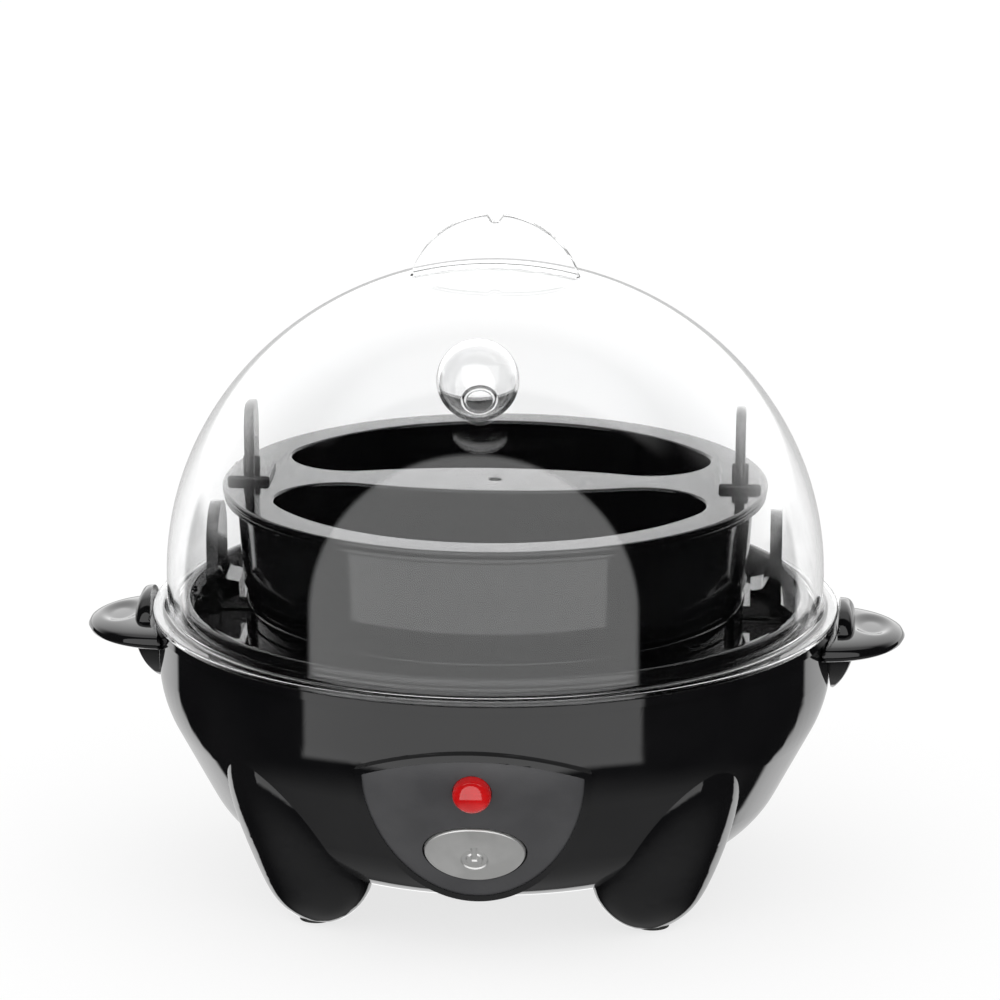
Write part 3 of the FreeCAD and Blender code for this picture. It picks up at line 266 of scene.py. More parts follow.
# Finishes, by the record's slots. "shader" values go straight on the Principled sockets.
finishes = {
    "gloss_black": {
        "colours": ((0.0035, 0.0035, 0.004), (0.006, 0.006, 0.0065)), "patchScale": 35.0,
        "shader": {"IOR": 1.5}, "marks": {"Roughness": 0.035, "Amount": 0.035, "Scale": 45.0},
        "scratches": {"Scale": 90.0, "Amount": 1.0}, "bump": (0.03, 0.00002)},
    "tray_black": {
        "colours": ((0.004, 0.004, 0.0045), (0.007, 0.007, 0.0075)), "patchScale": 40.0,
        "shader": {"IOR": 1.5}, "marks": {"Roughness": 0.07, "Amount": 0.05, "Scale": 60.0},
        "grain": {"Scale": 900.0, "Depth": 1.0}, "bump": (0.04, 0.00002)},
    "panel_grey": {
        "colours": ((0.045, 0.045, 0.048), (0.06, 0.06, 0.063)), "patchScale": 60.0,
        "shader": {"IOR": 1.5}, "marks": {"Roughness": 0.36, "Amount": 0.08, "Scale": 50.0},
        "grain": {"Scale": 2600.0, "Depth": 1.0}, "bump": (0.35, 0.00005)},
    "clear_lid": {
        "colours": ((1.0, 1.0, 1.0), (0.992, 0.996, 1.0)), "patchScale": 20.0,
        "shader": {"IOR": 1.46, "Transmission Weight": 1.0},
        "marks": {"Roughness": 0.0, "Amount": 0.02, "Scale": 25.0}},
    "silver_button": {
        "colours": ((0.60, 0.60, 0.59), (0.68, 0.68, 0.67)), "patchScale": 120.0,
        "shader": {"Metallic": 0.75}, "marks": {"Roughness": 0.30, "Amount": 0.08, "Scale": 90.0},
        "grain": {"Scale": 4200.0, "Depth": 1.0}, "bump": (0.12, 0.00004)},
    "red_lens": {
        "colours": ((0.85, 0.012, 0.014), (0.65, 0.008, 0.01)), "patchScale": 90.0,
        "shader": {"IOR": 1.5, "Transmission Weight": 0.35, "Coat Weight": 0.6, "Coat Roughness": 0.03},
        "marks": {"Roughness": 0.08, "Amount": 0.04, "Scale": 120.0}},
    "lamp_glass": {
        "colours": ((0.96, 0.75, 0.62), (0.93, 0.68, 0.55)), "patchScale": 100.0,
        "shader": {"IOR": 1.5, "Transmission Weight": 0.9},
        "marks": {"Roughness": 0.04, "Amount": 0.02, "Scale": 100.0}},
    "foot_rubber": {
        "colours": ((0.012, 0.012, 0.012), (0.022, 0.022, 0.021)), "patchScale": 200.0,
        "shader": {"IOR": 1.45}, "marks": {"Roughness": 0.72, "Amount": 0.12, "Scale": 160.0},
        "grain": {"Scale": 2200.0, "Depth": 1.0}, "bump": (0.4, 0.00006)},
    "dish_steel": {
        "colours": ((0.50, 0.50, 0.51), (0.60, 0.60, 0.61)), "patchScale": 30.0,
        "shader": {"Metallic": 1.0}, "marks": {"Roughness": 0.22, "Amount": 0.12, "Scale": 40.0},
        "rings": {"Scale": 2600.0, "Depth": 1.0}, "bump": (0.12, 0.00004)},
    "bright_steel": {
        "colours": ((0.55, 0.55, 0.56), (0.66, 0.66, 0.67)), "patchScale": 150.0,
        "shader": {"Metallic": 1.0}, "marks": {"Roughness": 0.24, "Amount": 0.16, "Scale": 150.0},
        "grain": {"Scale": 1500.0, "Depth": 1.0}, "bump": (0.08, 0.00003)},
    "cast_aluminium": {
        "colours": ((0.42, 0.42, 0.43), (0.55, 0.55, 0.56)), "patchScale": 90.0,
        "shader": {"Metallic": 1.0}, "marks": {"Roughness": 0.45, "Amount": 0.18, "Scale": 110.0},
        "grain": {"Scale": 1100.0, "Depth": 1.0}, "bump": (0.5, 0.0001)},
    "seal_silicone": {
        "colours": ((0.20, 0.02, 0.015), (0.26, 0.03, 0.02)), "patchScale": 80.0,
        "shader": {"IOR": 1.42}, "marks": {"Roughness": 0.5, "Amount": 0.12, "Scale": 90.0},
        "grain": {"Scale": 1700.0, "Depth": 1.0}, "bump": (0.2, 0.00004)},
    "inner_plastic": {
        "colours": ((0.66, 0.64, 0.58), (0.74, 0.72, 0.66)), "patchScale": 70.0,
        "shader": {"IOR": 1.5}, "marks": {"Roughness": 0.42, "Amount": 0.12, "Scale": 80.0},
        "grain": {"Scale": 1500.0, "Depth": 1.0}, "bump": (0.2, 0.00004)},
    "spring_steel": {
        "colours": ((0.58, 0.58, 0.60), (0.68, 0.68, 0.70)), "patchScale": 260.0,
        "shader": {"Metallic": 1.0}, "marks": {"Roughness": 0.18, "Amount": 0.12, "Scale": 300.0},
        "scratches": {"Scale": 500.0, "Amount": 1.0}, "bump": (0.1, 0.00002)},
}


def makeFinish(name, s):
    material = bpy.data.materials.new(name)
    material.use_nodes = True
    tree = material.node_tree
    tree.nodes.clear()
    where = addNode(tree, "ShaderNodeTexCoord").outputs["Object"]
    cloud = addNode(tree, "ShaderNodeTexNoise", {"Vector": where, "Scale": s["patchScale"], "Detail": 4.0})
    ramp = addNode(tree, "ShaderNodeValToRGB", {"Fac": cloud.outputs["Fac"]})
    for element, colour, at in zip(ramp.color_ramp.elements, s["colours"], (0.38, 0.64)):
        element.color, element.position = (*colour, 1), at
    shader = addNode(tree, "ShaderNodeBsdfPrincipled", {"Base Color": ramp.outputs["Color"], **s["shader"]})
    tree.links.new(placeGroup(tree, handlingMarks, s["marks"]), shader.inputs["Roughness"])
    heights = [placeGroup(tree, group, s[key]) for key, group in
               (("grain", mouldGrain), ("scratches", hairScratches), ("rings", turnedLines)) if key in s]
    if heights:
        strength, distance = s["bump"]
        bump = addNode(tree, "ShaderNodeBump", {"Height": heights[0], "Strength": strength,
                                                "Distance": distance})
        tree.links.new(bump.outputs[0], shader.inputs["Normal"])
    addNode(tree, "ShaderNodeOutputMaterial", {"Surface": shader.outputs[0]})
    return material


materials = {name: makeFinish(name, s) for name, s in finishes.items()}
slotOf = {part["node"]: part["material_slot"] for part in frame["record"]["subparts"]}
for name, node in nodes.items():
    node.data.materials.clear()
    node.data.materials.append(materials[slotOf[name]])
print("finishes ready:", len(materials))


# Making pieces. Sizes below are in millimetres; a mesh is scaled to metres when it is kept.

tidyGap = 1e-7  # metres; nearer points are one point


def finishShape(mesh):
    shape = bmesh.new()
    shape.from_mesh(mesh)
    bmesh.ops.remove_doubles(shape, verts=shape.verts, dist=tidyGap)
    bmesh.ops.recalc_face_normals(shape, faces=shape.faces)
    for face in shape.faces:
        face.smooth = True
    shape.to_mesh(mesh)
    shape.free()


def bake(piece):
    graph = bpy.context.evaluated_depsgraph_get()
    mesh = bpy.data.meshes.new_from_object(piece.evaluated_get(graph), depsgraph=graph)
    piece.modifiers.clear()
    piece.data = mesh


def newPiece(name, mesh, body, slot, *replaced):
    piece = bpy.data.objects.new(name, mesh)
    bpy.context.scene.collection.objects.link(piece)
    mesh.materials.clear()
    mesh.materials.append(materials[slot])
    piece.modifiers.new("evenNormals", "WEIGHTED_NORMAL").keep_sharp = True
    bake(piece)
    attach(piece, body)
    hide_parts(*replaced)
    return piece


def keepShape(shape, name):
    for vertex in shape.verts:
        vertex.co *= mm
    mesh = bpy.data.meshes.new(name)
    shape.to_mesh(mesh)
    shape.free()
    finishShape(mesh)
    return mesh


softSet = {"mergeGap": 2e-6, "flatAngle": 0.6, "sharpAngle": 30.0, "steps": 3}


# A merged copy of a CAD mesh with rounded edges.
def soften(s, node, body, width):
    mesh = nodes[node].data.copy()
    shape = bmesh.new()
    shape.from_mesh(mesh)
    bmesh.ops.remove_doubles(shape, verts=shape.verts, dist=s["mergeGap"])
    bmesh.ops.dissolve_limit(shape, angle_limit=math.radians(s["flatAngle"]), verts=shape.verts,
                             edges=shape.edges)
    for face in shape.faces:
        face.smooth = True
    shape.to_mesh(mesh)
    shape.free()
    piece = bpy.data.objects.new(node + "_soft", mesh)
    bpy.context.scene.collection.objects.link(piece)
    bevel = piece.modifiers.new("softEdge", "BEVEL")
    bevel.width, bevel.segments, bevel.limit_method = width * mm, s["steps"], "ANGLE"
    bevel.angle_limit, bevel.miter_outer = math.radians(s["sharpAngle"]), "MITER_ARC"
    bake(piece)
    mesh = piece.data
    bpy.data.objects.remove(piece)
    newPiece(node + "_soft", mesh, body, slotOf[node], node)


# Geometry Nodes trees take named sizes and a material, and end as one real mesh.

def startTree(name, **sizes):
    tree = bpy.data.node_groups.new(name, "GeometryNodeTree")
    tree.interface.new_socket("Geometry", in_out="INPUT", socket_type="NodeSocketGeometry")
    for label, kind in sizes.items():
        tree.interface.new_socket(label, in_out="INPUT", socket_type="NodeSocket" + kind)
    tree.interface.new_socket("Material", in_out="INPUT", socket_type="NodeSocketMaterial")
    tree.interface.new_socket("Geometry", in_out="OUTPUT", socket_type="NodeSocketGeometry")
    return tree, addNode(tree, "NodeGroupInput").outputs


def endTree(tree, given, geometry):
    real = addNode(tree, "GeometryNodeRealizeInstances", {"Geometry": geometry})
    painted = addNode(tree, "GeometryNodeSetMaterial", {"Geometry": real.outputs[0],
                                                        "Material": given["Material"]})
    addNode(tree, "NodeGroupOutput", {"Geometry": painted.outputs[0]})
    return tree


# Turned pieces: an outline carried round the axis.

def makeTurnTree():
    tree, given = startTree("turnOutline", Sides="Int")
    outline = addNode(tree, "GeometryNodeMeshToCurve", {"Mesh": given["Geometry"]})
    wheel = addNode(tree, "GeometryNodeCurvePrimitiveCircle", {"Resolution": given["Sides"], "Radius": 1.0})
    swept = addNode(tree, "GeometryNodeCurveToMesh", {"Curve": wheel.outputs[0],
                                                      "Profile Curve": outline.outputs[0]})
    merged = addNode(tree, "GeometryNodeMergeByDistance", {"Geometry": swept.outputs[0], "Distance": 1e-6})
    return endTree(tree, given, merged.outputs[0])


turnOutline = makeTurnTree()


def runTree(name, mesh, tree, **inputs):
    blank = bpy.data.objects.new(name, mesh)
    bpy.context.scene.collection.objects.link(blank)
    maker = blank.modifiers.new("made", "NODES")
    maker.node_group = tree
    for item in tree.interface.items_tree:
        if item.in_out == "INPUT" and item.name in inputs:
            maker[item.identifier] = inputs[item.name]
    bake(blank)
    mesh = blank.data
    bpy.data.objects.remove(blank)
    return mesh


arcStep = math.radians(14)


# Outline points from (across, up) corners; a third number rounds the corner.
def roundCorners(corners):
    points = []
    for i, corner in enumerate(corners):
        here = Vector(corner[:2])
        if len(corner) == 2:
            points.append(here)
            continue
        back = (Vector(corners[i - 1][:2]) - here).normalized()
        ahead = (Vector(corners[(i + 1) % len(corners)][:2]) - here).normalized()
        half = back.angle(ahead) / 2
        reach = corner[2] / math.tan(half)
        centre = here + (back + ahead).normalized() * (corner[2] / math.sin(half))
        first, last = here + back * reach - centre, here + ahead * reach - centre
        sweep = first.angle_signed(last)
        steps = max(2, int(abs(sweep) / arcStep) + 1)
        for k in range(steps + 1):
            angle = -sweep * k / steps
            turned = Vector((first.x * math.cos(angle) - first.y * math.sin(angle),
                             first.x * math.sin(angle) + first.y * math.cos(angle)))
            points.append(centre + turned)
    return points


def turnPiece(name, corners, body, slot, node, sides=160):
    points = roundCorners(corners)
    mesh = bpy.data.meshes.new(name)
    last = len(points) - 1
    edges = [(k, k + 1) for k in range(last)]
    if points[0].x or points[last].x:
        edges.append((last, 0))
    mesh.from_pydata([(p.x * mm - 1.0, -p.y * mm, 0) for p in points], edges, [])  # the wheel's radius is 1
    mesh = runTree(name, mesh, turnOutline, Sides=sides, Material=materials[slot])
    finishShape(mesh)
    newPiece(name, mesh, body, slot, node)


# Solid between two skins: each skin gives a point for across (-1 to 1) and along (0 to 1).

def skinSolid(front, back, across=24, along=40):
    shape = bmesh.new()
    grids = []
    for skin in (front, back):
        grids.append([[shape.verts.new(skin(-1 + 2 * i / across, j / along)) for i in range(across + 1)]
                      for j in range(along + 1)])
    for grid in grids:
        for j in range(along):
            for i in range(across):
                shape.faces.new((grid[j][i], grid[j][i + 1], grid[j + 1][i + 1], grid[j + 1][i]))
    first, second = grids
    for j in range(along):
        for i in (0, across):
            shape.faces.new((first[j][i], first[j + 1][i], second[j + 1][i], second[j][i]))
    for i in range(across):
        for j in (0, along):
            shape.faces.new((first[j][i], first[j][i + 1], second[j][i + 1], second[j][i]))
    bmesh.ops.remove_doubles(shape, verts=shape.verts, dist=1e-4)
    return shape


def joinShapes(name, *shapes):
    whole = bmesh.new()
    for shape in shapes:
        mesh = bpy.data.meshes.new("part")
        bmesh.ops.recalc_face_normals(shape, faces=shape.faces)
        shape.to_mesh(mesh)
        shape.free()
        whole.from_mesh(mesh)
    return keepShape(whole, name)


def easeIn(value, low, high):
    t = min(1.0, max(0.0, (value - low) / (high - low)))
    return t * t * (3 - 2 * t)


# Lid: a dome with an upright wall and a flange.

lid = {"foot": 66.3, "flange": 82.5, "flangeThick": 1.3, "radius": 79.0, "spring": 76.0, "rise": 74.4,
       "wall": 1.3, "root": 1.2, "edge": 0.35, "innerEdge": 0.4, "steps": 56}


def domeArc(s, inset):
    return [((s["radius"] - inset) * math.sin(a), s["spring"] + (s["rise"] - inset) * math.cos(a))
            for a in (math.pi / 2 * k / s["steps"] for k in range(s["steps"] + 1))]


def lidOutline(s):
    outside, inside = domeArc(s, 0), domeArc(s, s["wall"])
    inner = s["radius"] - s["wall"]
    top = s["foot"] + s["flangeThick"]
    return [*outside, (s["radius"], top, s["root"]), (s["flange"], top, s["edge"]),
            (s["flange"], s["foot"], s["edge"]), (inner, s["foot"], s["innerEdge"]), *reversed(inside)]


turnPiece("dome", lidOutline(lid), "lid", "clear_lid", "lid_dome", sides=192)

# Lid fin: a thin half-round grip with a notch, soft edges and a small flare where it meets the dome.
fin = {"radius": 21.0, "top": 163.0, "thick": 3.0, "notch": 1.75, "reach": 20.3, "lift": 0.12, "flare": 0.6,
       "flareHigh": 0.3, "edge": 14}


def finShape(s):
    def skin(side):
        def point(u, v):
            x = s["reach"] * math.sin(u * math.pi / 2) if abs(u) > 0.1 else s["reach"] * u * 1.5643
            low = lid["spring"] + lid["rise"] * math.sqrt(1 - (x / lid["radius"]) ** 2) + s["lift"]
            high = s["top"] - s["radius"] + math.sqrt(s["radius"] ** 2 - x * x)
            if abs(x) < s["notch"]:
                high = min(high, s["top"] - math.sqrt(s["notch"] ** 2 - x * x))
            high = max(high, low + 0.02)
            z = low + (high - low) * math.sin(v * math.pi / 2) ** 1.5
            half = s["thick"] / 2 * math.sqrt(max(0.0, 1 - max(v, abs(u)) ** s["edge"]))
            half += s["flare"] * math.exp(-(z - low) / s["flareHigh"]) * (1 - abs(u) ** s["edge"])
            return (x, side * half, z)
        return point
    return skinSolid(skin(1), skin(-1), 160, 48)


newPiece("finGrip", joinShapes("finGrip", finShape(fin)), "lid", "clear_lid", "lid_fin_handle")

# Hollow ball on the front of the dome, with a ring where it joins.
ball = {"radius": 9.5, "wall": 0.8, "angle": 43.0, "ringRadius": 4.0, "ringThick": 0.75}


def ballShapes(s):
    seat = math.radians(s["angle"])
    slope = math.atan(math.tan(seat) * lid["rise"] / lid["radius"])
    foot = Vector((0, -lid["radius"] * math.sin(seat), lid["spring"] + lid["rise"] * math.cos(seat)))
    outward = Vector((0, -math.sin(slope), math.cos(slope)))
    turn = outward.to_track_quat("Z", "Y").to_matrix().to_4x4()
    skins = []
    for radius, flip in ((s["radius"], False), (s["radius"] - s["wall"], True)):
        skin = bmesh.new()
        bmesh.ops.create_uvsphere(skin, u_segments=64, v_segments=40, radius=radius,
                                  matrix=Matrix.Translation(foot + outward * (s["radius"] + 0.05)) @ turn)
        if flip:
            bmesh.ops.reverse_faces(skin, faces=skin.faces)
        skins.append(skin)
    ring = bmesh.new()
    count, sides = 64, 16
    made = [[ring.verts.new(foot + outward * 0.35 + turn.to_3x3() @ Vector((
        (s["ringRadius"] + s["ringThick"] * math.cos(b)) * math.cos(a),
        (s["ringRadius"] + s["ringThick"] * math.cos(b)) * math.sin(a), s["ringThick"] * math.sin(b))))
        for b in (2 * math.pi * k / sides for k in range(sides))]
        for a in (2 * math.pi * k / count for k in range(count))]
    for i in range(count):
        for j in range(sides):
            ring.faces.new((made[i][j], made[(i + 1) % count][j], made[(i + 1) % count][(j + 1) % sides],
                            made[i][(j + 1) % sides]))
    bmesh.ops.recalc_face_normals(ring, faces=ring.faces)
    return [*skins, ring]


def keepAsMade(name, shapes):
    whole = bmesh.new()
    for shape in shapes:
        mesh = bpy.data.meshes.new("part")
        shape.to_mesh(mesh)
        shape.free()
        whole.from_mesh(mesh)
    for vertex in whole.verts:
        vertex.co *= mm
    for face in whole.faces:
        face.smooth = True
    mesh = bpy.data.meshes.new(name)
    whole.to_mesh(mesh)
    whole.free()
    return mesh


newPiece("ventBall", keepAsMade("ventBall", ballShapes(ball)), "lid", "clear_lid", "lid_vent_ball")

# Omelette tray: a stepped cup with a rolled rim.
omelette = {"foot": 70.4, "step": 59.6, "stepHigh": 74.4, "wallLow": 60.6, "wallHigh": 61.9, "top": 96.4,
            "rim": 64.9, "rimThick": 1.4, "wall": 1.6}


def omeletteOutline(s):
    under = s["top"] - s["rimThick"]
    return [(0, s["foot"]), (s["step"], s["foot"], 1.0), (s["step"], s["stepHigh"], 0.3),
            (s["wallLow"], s["stepHigh"], 0.5), (s["wallHigh"], under, 0.6), (s["rim"], under, 0.45),
            (s["rim"], s["top"], 0.6), (s["wallHigh"] - s["wall"], s["top"], 0.6),
            (s["step"] - s["wall"], s["stepHigh"], 0.8), (s["step"] - s["wall"], s["foot"] + s["wall"], 2.5),
            (0, s["foot"] + s["wall"])]


turnPiece("omeletteCup", omeletteOutline(omelette), "omelette", "tray_black", "omelette_tray")
print("turned pieces ready")

# Upright handle plates with a round top and soft edges.
plateEdge = 7  # higher is squarer


def archPlate(x, thickness, width, foot, top):
    half = width / 2
    straight = top - half

    def skin(side):
        def point(u, v):
            z = foot + (top - foot) * math.sin(v * math.pi / 2)
            reach = half if z <= straight else math.sqrt(max(0.0, half ** 2 - (z - straight) ** 2))
            climb = max(0.0, (z - straight) / half)
            rim = max(abs(u) ** plateEdge, easeIn(climb, 0, 1) * climb ** plateEdge)
            swell = math.sqrt(max(0.0, 1 - rim ** 2)) if reach else 0
            return (x + side * thickness / 2 * swell, u * reach, z)
        return point
    return skinSolid(skin(1), skin(-1), 28, 40)


def softBlock(x, low, high, halfX, halfY, bevel):
    shape = bmesh.new()
    bmesh.ops.create_cube(shape, size=1.0)
    for vertex in shape.verts:
        vertex.co = Vector((x + vertex.co.x * 2 * halfX, vertex.co.y * 2 * halfY,
                            low + (vertex.co.z + 0.5) * (high - low)))
    bmesh.ops.bevel(shape, geom=list(shape.edges), offset=bevel, segments=3, profile=0.5, affect="EDGES")
    return shape


# Poaching tray: a plate with two half-moon wells either side of a curved bridge.
poach = {"under": 96.7, "top": 98.1, "rim": 65.2, "wellRadius": 56.6, "horn": 15.0, "bridgeHalf": 11.0,
         "bridgeCurve": 114.0, "wall": 1.3, "depth": 17.0, "floorRound": 3.4, "lip": 0.7, "drain": 1.5,
         "edge": 0.6, "bead": 0.3, "draft": 0.25,
         "handleReach": 58.6, "handleThick": 2.4, "handleWide": 13.0, "handleTop": 116.8, "footHigh": 1.6}


def wellLoop(s, grow, back=False, count=40):
    far, near = s["wellRadius"] - s["horn"], s["bridgeCurve"] + s["horn"]
    rise = s["bridgeCurve"] - s["bridgeHalf"]
    hornY = (far ** 2 - near ** 2 + rise ** 2) / (2 * rise)
    hornX = math.sqrt(far ** 2 - hornY ** 2)
    outerTouch, bridgeTouch = math.atan2(hornY, hornX), math.atan2(rise - hornY, -hornX)
    arcs = [(0, 0, s["wellRadius"] + grow, math.pi - outerTouch, 2 * math.pi + outerTouch, 2 * count),
            (hornX, hornY, s["horn"] + grow, outerTouch, bridgeTouch, count // 2),
            (0, rise, s["bridgeCurve"] - grow, bridgeTouch + math.pi, 2 * math.pi - bridgeTouch, count),
            (-hornX, hornY, s["horn"] + grow, math.pi - bridgeTouch, math.pi - outerTouch, count // 2)]
    turn = -1 if back else 1
    return [(turn * (x + r * math.cos(a)), turn * (y + r * math.sin(a)))
            for x, y, r, first, last, steps in arcs
            for a in (first + (last - first) * k / steps for k in range(steps))]


def circleLoop(radius, count):
    return [(radius * math.cos(2 * math.pi * k / count), radius * math.sin(2 * math.pi * k / count))
            for k in range(count)]


def loftRings(shape, rings):
    made = [[shape.verts.new((x, y, z)) for x, y in loop] for loop, z in rings]
    for low, high in zip(made, made[1:]):
        for i in range(len(low)):
            j = (i + 1) % len(low)
            shape.faces.new((low[i], low[j], high[j], high[i]))
    return made[0], made[-1]


def fillPlane(shape, loops):
    edges = []
    for loop in loops:
        for i in range(len(loop)):
            edges.append(shape.edges.get((loop[i], loop[(i + 1) % len(loop)])))
    bmesh.ops.triangle_fill(shape, use_beauty=True, edges=edges, normal=(0, 0, 1))


def quarterTurn(steps):
    return [math.pi / 2 * k / steps for k in range(steps + 1)]


def poachShape(s):
    shape = bmesh.new()
    lip, wall, deep = s["lip"], s["wall"], s["floorRound"]
    floor = s["top"] - s["depth"]
    tops, unders = [], []
    edge, bead = s["edge"], s["bead"]
    outer = [(circleLoop(s["rim"] - edge + edge * math.sin(a), 160), s["top"] - edge + edge * math.cos(a))
             for a in quarterTurn(4)]
    outer += [(circleLoop(s["rim"], 160), s["under"] + bead), (circleLoop(s["rim"] - bead, 160), s["under"])]
    first, last = loftRings(shape, outer)
    tops.append(first)
    unders.append(last)
    for back in (False, True):
        inside = [(wellLoop(s, lip * (1 - math.sin(a)), back), s["top"] - lip * (1 - math.cos(a)))
                  for a in quarterTurn(4)]
        inside += [(wellLoop(s, -deep * (1 - math.cos(a)) - s["draft"], back), floor + deep * (1 - math.sin(a)))
                   for a in quarterTurn(5)]
        first, last = loftRings(shape, inside)
        tops.append(first)
        shape.faces.new(last)
        outside = [(wellLoop(s, wall, back), s["under"])]
        outside += [(wellLoop(s, wall - deep * (1 - math.cos(a)), back),
                     floor - wall + deep * (1 - math.sin(a))) for a in quarterTurn(5)]
        first, last = loftRings(shape, outside)
        unders.append(first)
        shape.faces.new(last)
    first, last = loftRings(shape, [
        (circleLoop(s["drain"] + bead, 32), s["top"]), (circleLoop(s["drain"], 32), s["top"] - bead),
        (circleLoop(s["drain"], 32), s["under"])])
    tops.append(first)
    unders.append(last)
    fillPlane(shape, tops)
    fillPlane(shape, unders)
    return shape


def poachHandle(s, side):
    x, footTop = side * s["handleReach"], s["top"] + s["footHigh"]
    return [archPlate(x, s["handleThick"], s["handleWide"], s["top"], s["handleTop"]),
            softBlock(x, footTop - 0.4, footTop + 3.4, 2.0, 1.1, 0.5),  # gusset
            softBlock(x, s["top"] - 0.6, footTop, 5.0, 7.5, 0.7)]  # foot


newPiece("poachingWells",
         joinShapes("poachingWells", poachShape(poach), *poachHandle(poach, -1), *poachHandle(poach, 1)),
         "poaching", "tray_black", "poaching_tray")
print("poaching tray ready")

# Side handles: a cushioned petal with a thumb dimple on a rounded ear.
grip = {"tip": 98.6, "centre": 79.0, "halfWidth": 20.0, "low": 58.2, "thick": 5.7, "dimpleX": 90.6,
        "dimpleLong": 5.4, "dimpleWide": 9.5, "dimpleDeep": 0.9, "earTop": 69.6, "earBottom": 47.5,
        "earWaist": 60.0, "earHalf": 11.0, "earOut": 86.8, "earRound": 2.4, "bowl": 81.05,
        "lidClear": 83.15, "ledge": 64.0}


def petalShape(s, side):
    a, b = s["tip"] - s["centre"], s["halfWidth"]

    def skin(up):
        def point(u, v):
            angle = u * math.pi / 2 * 0.999
            x, y = s["centre"] + a * v * math.cos(angle), b * v * math.sin(angle)
            half = s["thick"] / 2 * math.sqrt(max(0.0, 1 - v ** 5))
            z = s["low"] + s["thick"] / 2 + up * half
            if up > 0:
                away = math.hypot((x - s["dimpleX"]) / s["dimpleLong"], y / s["dimpleWide"])
                z -= s["dimpleDeep"] * (1 - easeIn(away, 0.45, 1.0))
            apart = math.hypot(x, y)
            if apart < s["bowl"]:
                x, y = x * s["bowl"] / apart, y * s["bowl"] / apart
            return (side * x, y, min(z, s["ledge"] - 0.15))
        return point
    return skinSolid(skin(1), skin(-1), 60, 36)


def earShape(s, side):
    deepest = s["earOut"] - s["bowl"]

    def skin(outer):
        def point(u, v):
            z = s["earBottom"] + (s["earTop"] - s["earBottom"]) * (1 - math.cos(v * math.pi)) / 2
            climb = (z - s["earWaist"]) / (s["earTop"] - s["earWaist"])
            drop = (s["earWaist"] - z) / (s["earWaist"] - s["earBottom"])
            if climb > 0:  # rounded top
                half = s["earHalf"] * math.sqrt(max(0.0, 1 - climb ** 2.6))
                swell = deepest * (0.42 + 0.58 * math.sqrt(max(0.0, 1 - climb ** 4)))
            else:  # pointed lower tip
                half = s["earHalf"] * max(0.0, 1 - drop ** 2.2) ** 0.8
                swell = deepest * (0.06 + 0.94 * (1 - drop ** 1.7))
            y = u * half
            inner = math.sqrt((s["lidClear"] if z > s["ledge"] - 0.5 else s["bowl"]) ** 2 - y ** 2)
            if not outer:
                return (side * inner, y, z)
            swell -= s["earRound"] * (1 - math.sqrt(max(0.0, 1 - abs(u) ** 5))) * swell / deepest
            return (side * max(inner + 0.05, s["bowl"] + swell), y, z)
        return point
    return skinSolid(skin(True), skin(False), 28, 44)


for side, name in ((-1, "left_handle"), (1, "right_handle")):
    newPiece(name + "_grip", joinShapes(name, petalShape(grip, side), earShape(grip, side)),
             "base", "gloss_black", name)
print("side handles ready")

# Push button: a domed oval with a shallow power sign.
push = {"halfWidth": 11.8, "halfHeight": 8.4, "proud": 1.0, "crown": 40.0, "depth": 5.8, "edge": 0.7,
        "down": 5.6, "signRadius": 2.5, "signLine": 0.62, "signDeep": 0.35, "signDown": 0.8, "signGap": 1.15,
        "barMiddle": 1.9, "barHalf": 1.5,
        "tilt": 28.0, "height": 32.5, "bowl": 81.0, "belowShoulder": 14.5, "panelProud": 1.6}


# From the panel's own plane (across, up, outwards) to the object's frame.
def onPanel(s, x, y, z):
    cone, turn = math.radians(s["tilt"]), math.radians(90 + s["tilt"])
    face = s["bowl"] - s["belowShoulder"] * math.tan(cone) + s["panelProud"] / math.cos(cone)
    return (x, y * math.cos(turn) - z * math.sin(turn) - face,
            y * math.sin(turn) + z * math.cos(turn) + s["height"])


def signDepth(s, x, y):
    y += s["signDown"]
    apart = math.hypot(x, y)
    ring = abs(apart - s["signRadius"])
    if y > 0 and abs(x) < s["signGap"] and apart > s["signRadius"] * 0.6:
        ring = max(ring, s["signGap"] - abs(x))
    stroke = max(abs(x), abs(y - s["barMiddle"]) - s["barHalf"])
    return -s["signDeep"] * (1 - easeIn(min(ring, stroke), s["signLine"] * 0.6, s["signLine"] * 1.3))


# Ovals in the panel's own frame, joined in order and closed at the last, and at the first if closeFirst.
def ovalStack(rows, count, closeFirst):
    shape = bmesh.new()
    turns = [2 * math.pi * i / count for i in range(count)]
    made = [[shape.verts.new(onPanel(push, *row(math.cos(a), math.sin(a)))) for a in turns] for row in rows]
    for low, high in zip(made, made[1:]):
        for i in range(count):
            j = (i + 1) % count
            shape.faces.new((low[i], low[j], high[j], high[i]))
    for loop in (made[0], made[-1]) if closeFirst else (made[-1],):
        shape.faces.new(loop)
    return shape


def buttonShape(s, rings=84):
    def crowned(x, y):
        return s["proud"] - (s["crown"] - math.sqrt(s["crown"] ** 2 - x * x - y * y))

    def face(share):
        def point(c, d):
            x = (s["halfWidth"] - s["edge"] * 0.3) * share * c
            y = (s["halfHeight"] - s["edge"] * 0.3) * share * d
            return x, y - s["down"], crowned(x, y) + signDepth(s, x, y)
        return point

    def side(drop, inset):
        def point(c, d):
            x, y = (s["halfWidth"] - inset) * c, (s["halfHeight"] - inset) * d
            return x, y - s["down"], max(crowned(x, y) - drop, -s["depth"])
        return point
    rows = [face(j / rings) for j in range(rings + 1)]
    rows += [side(0.25, s["edge"] * 0.12), side(s["edge"], 0.0), side(s["depth"], 0.0)]
    return ovalStack(rows, 144, False)


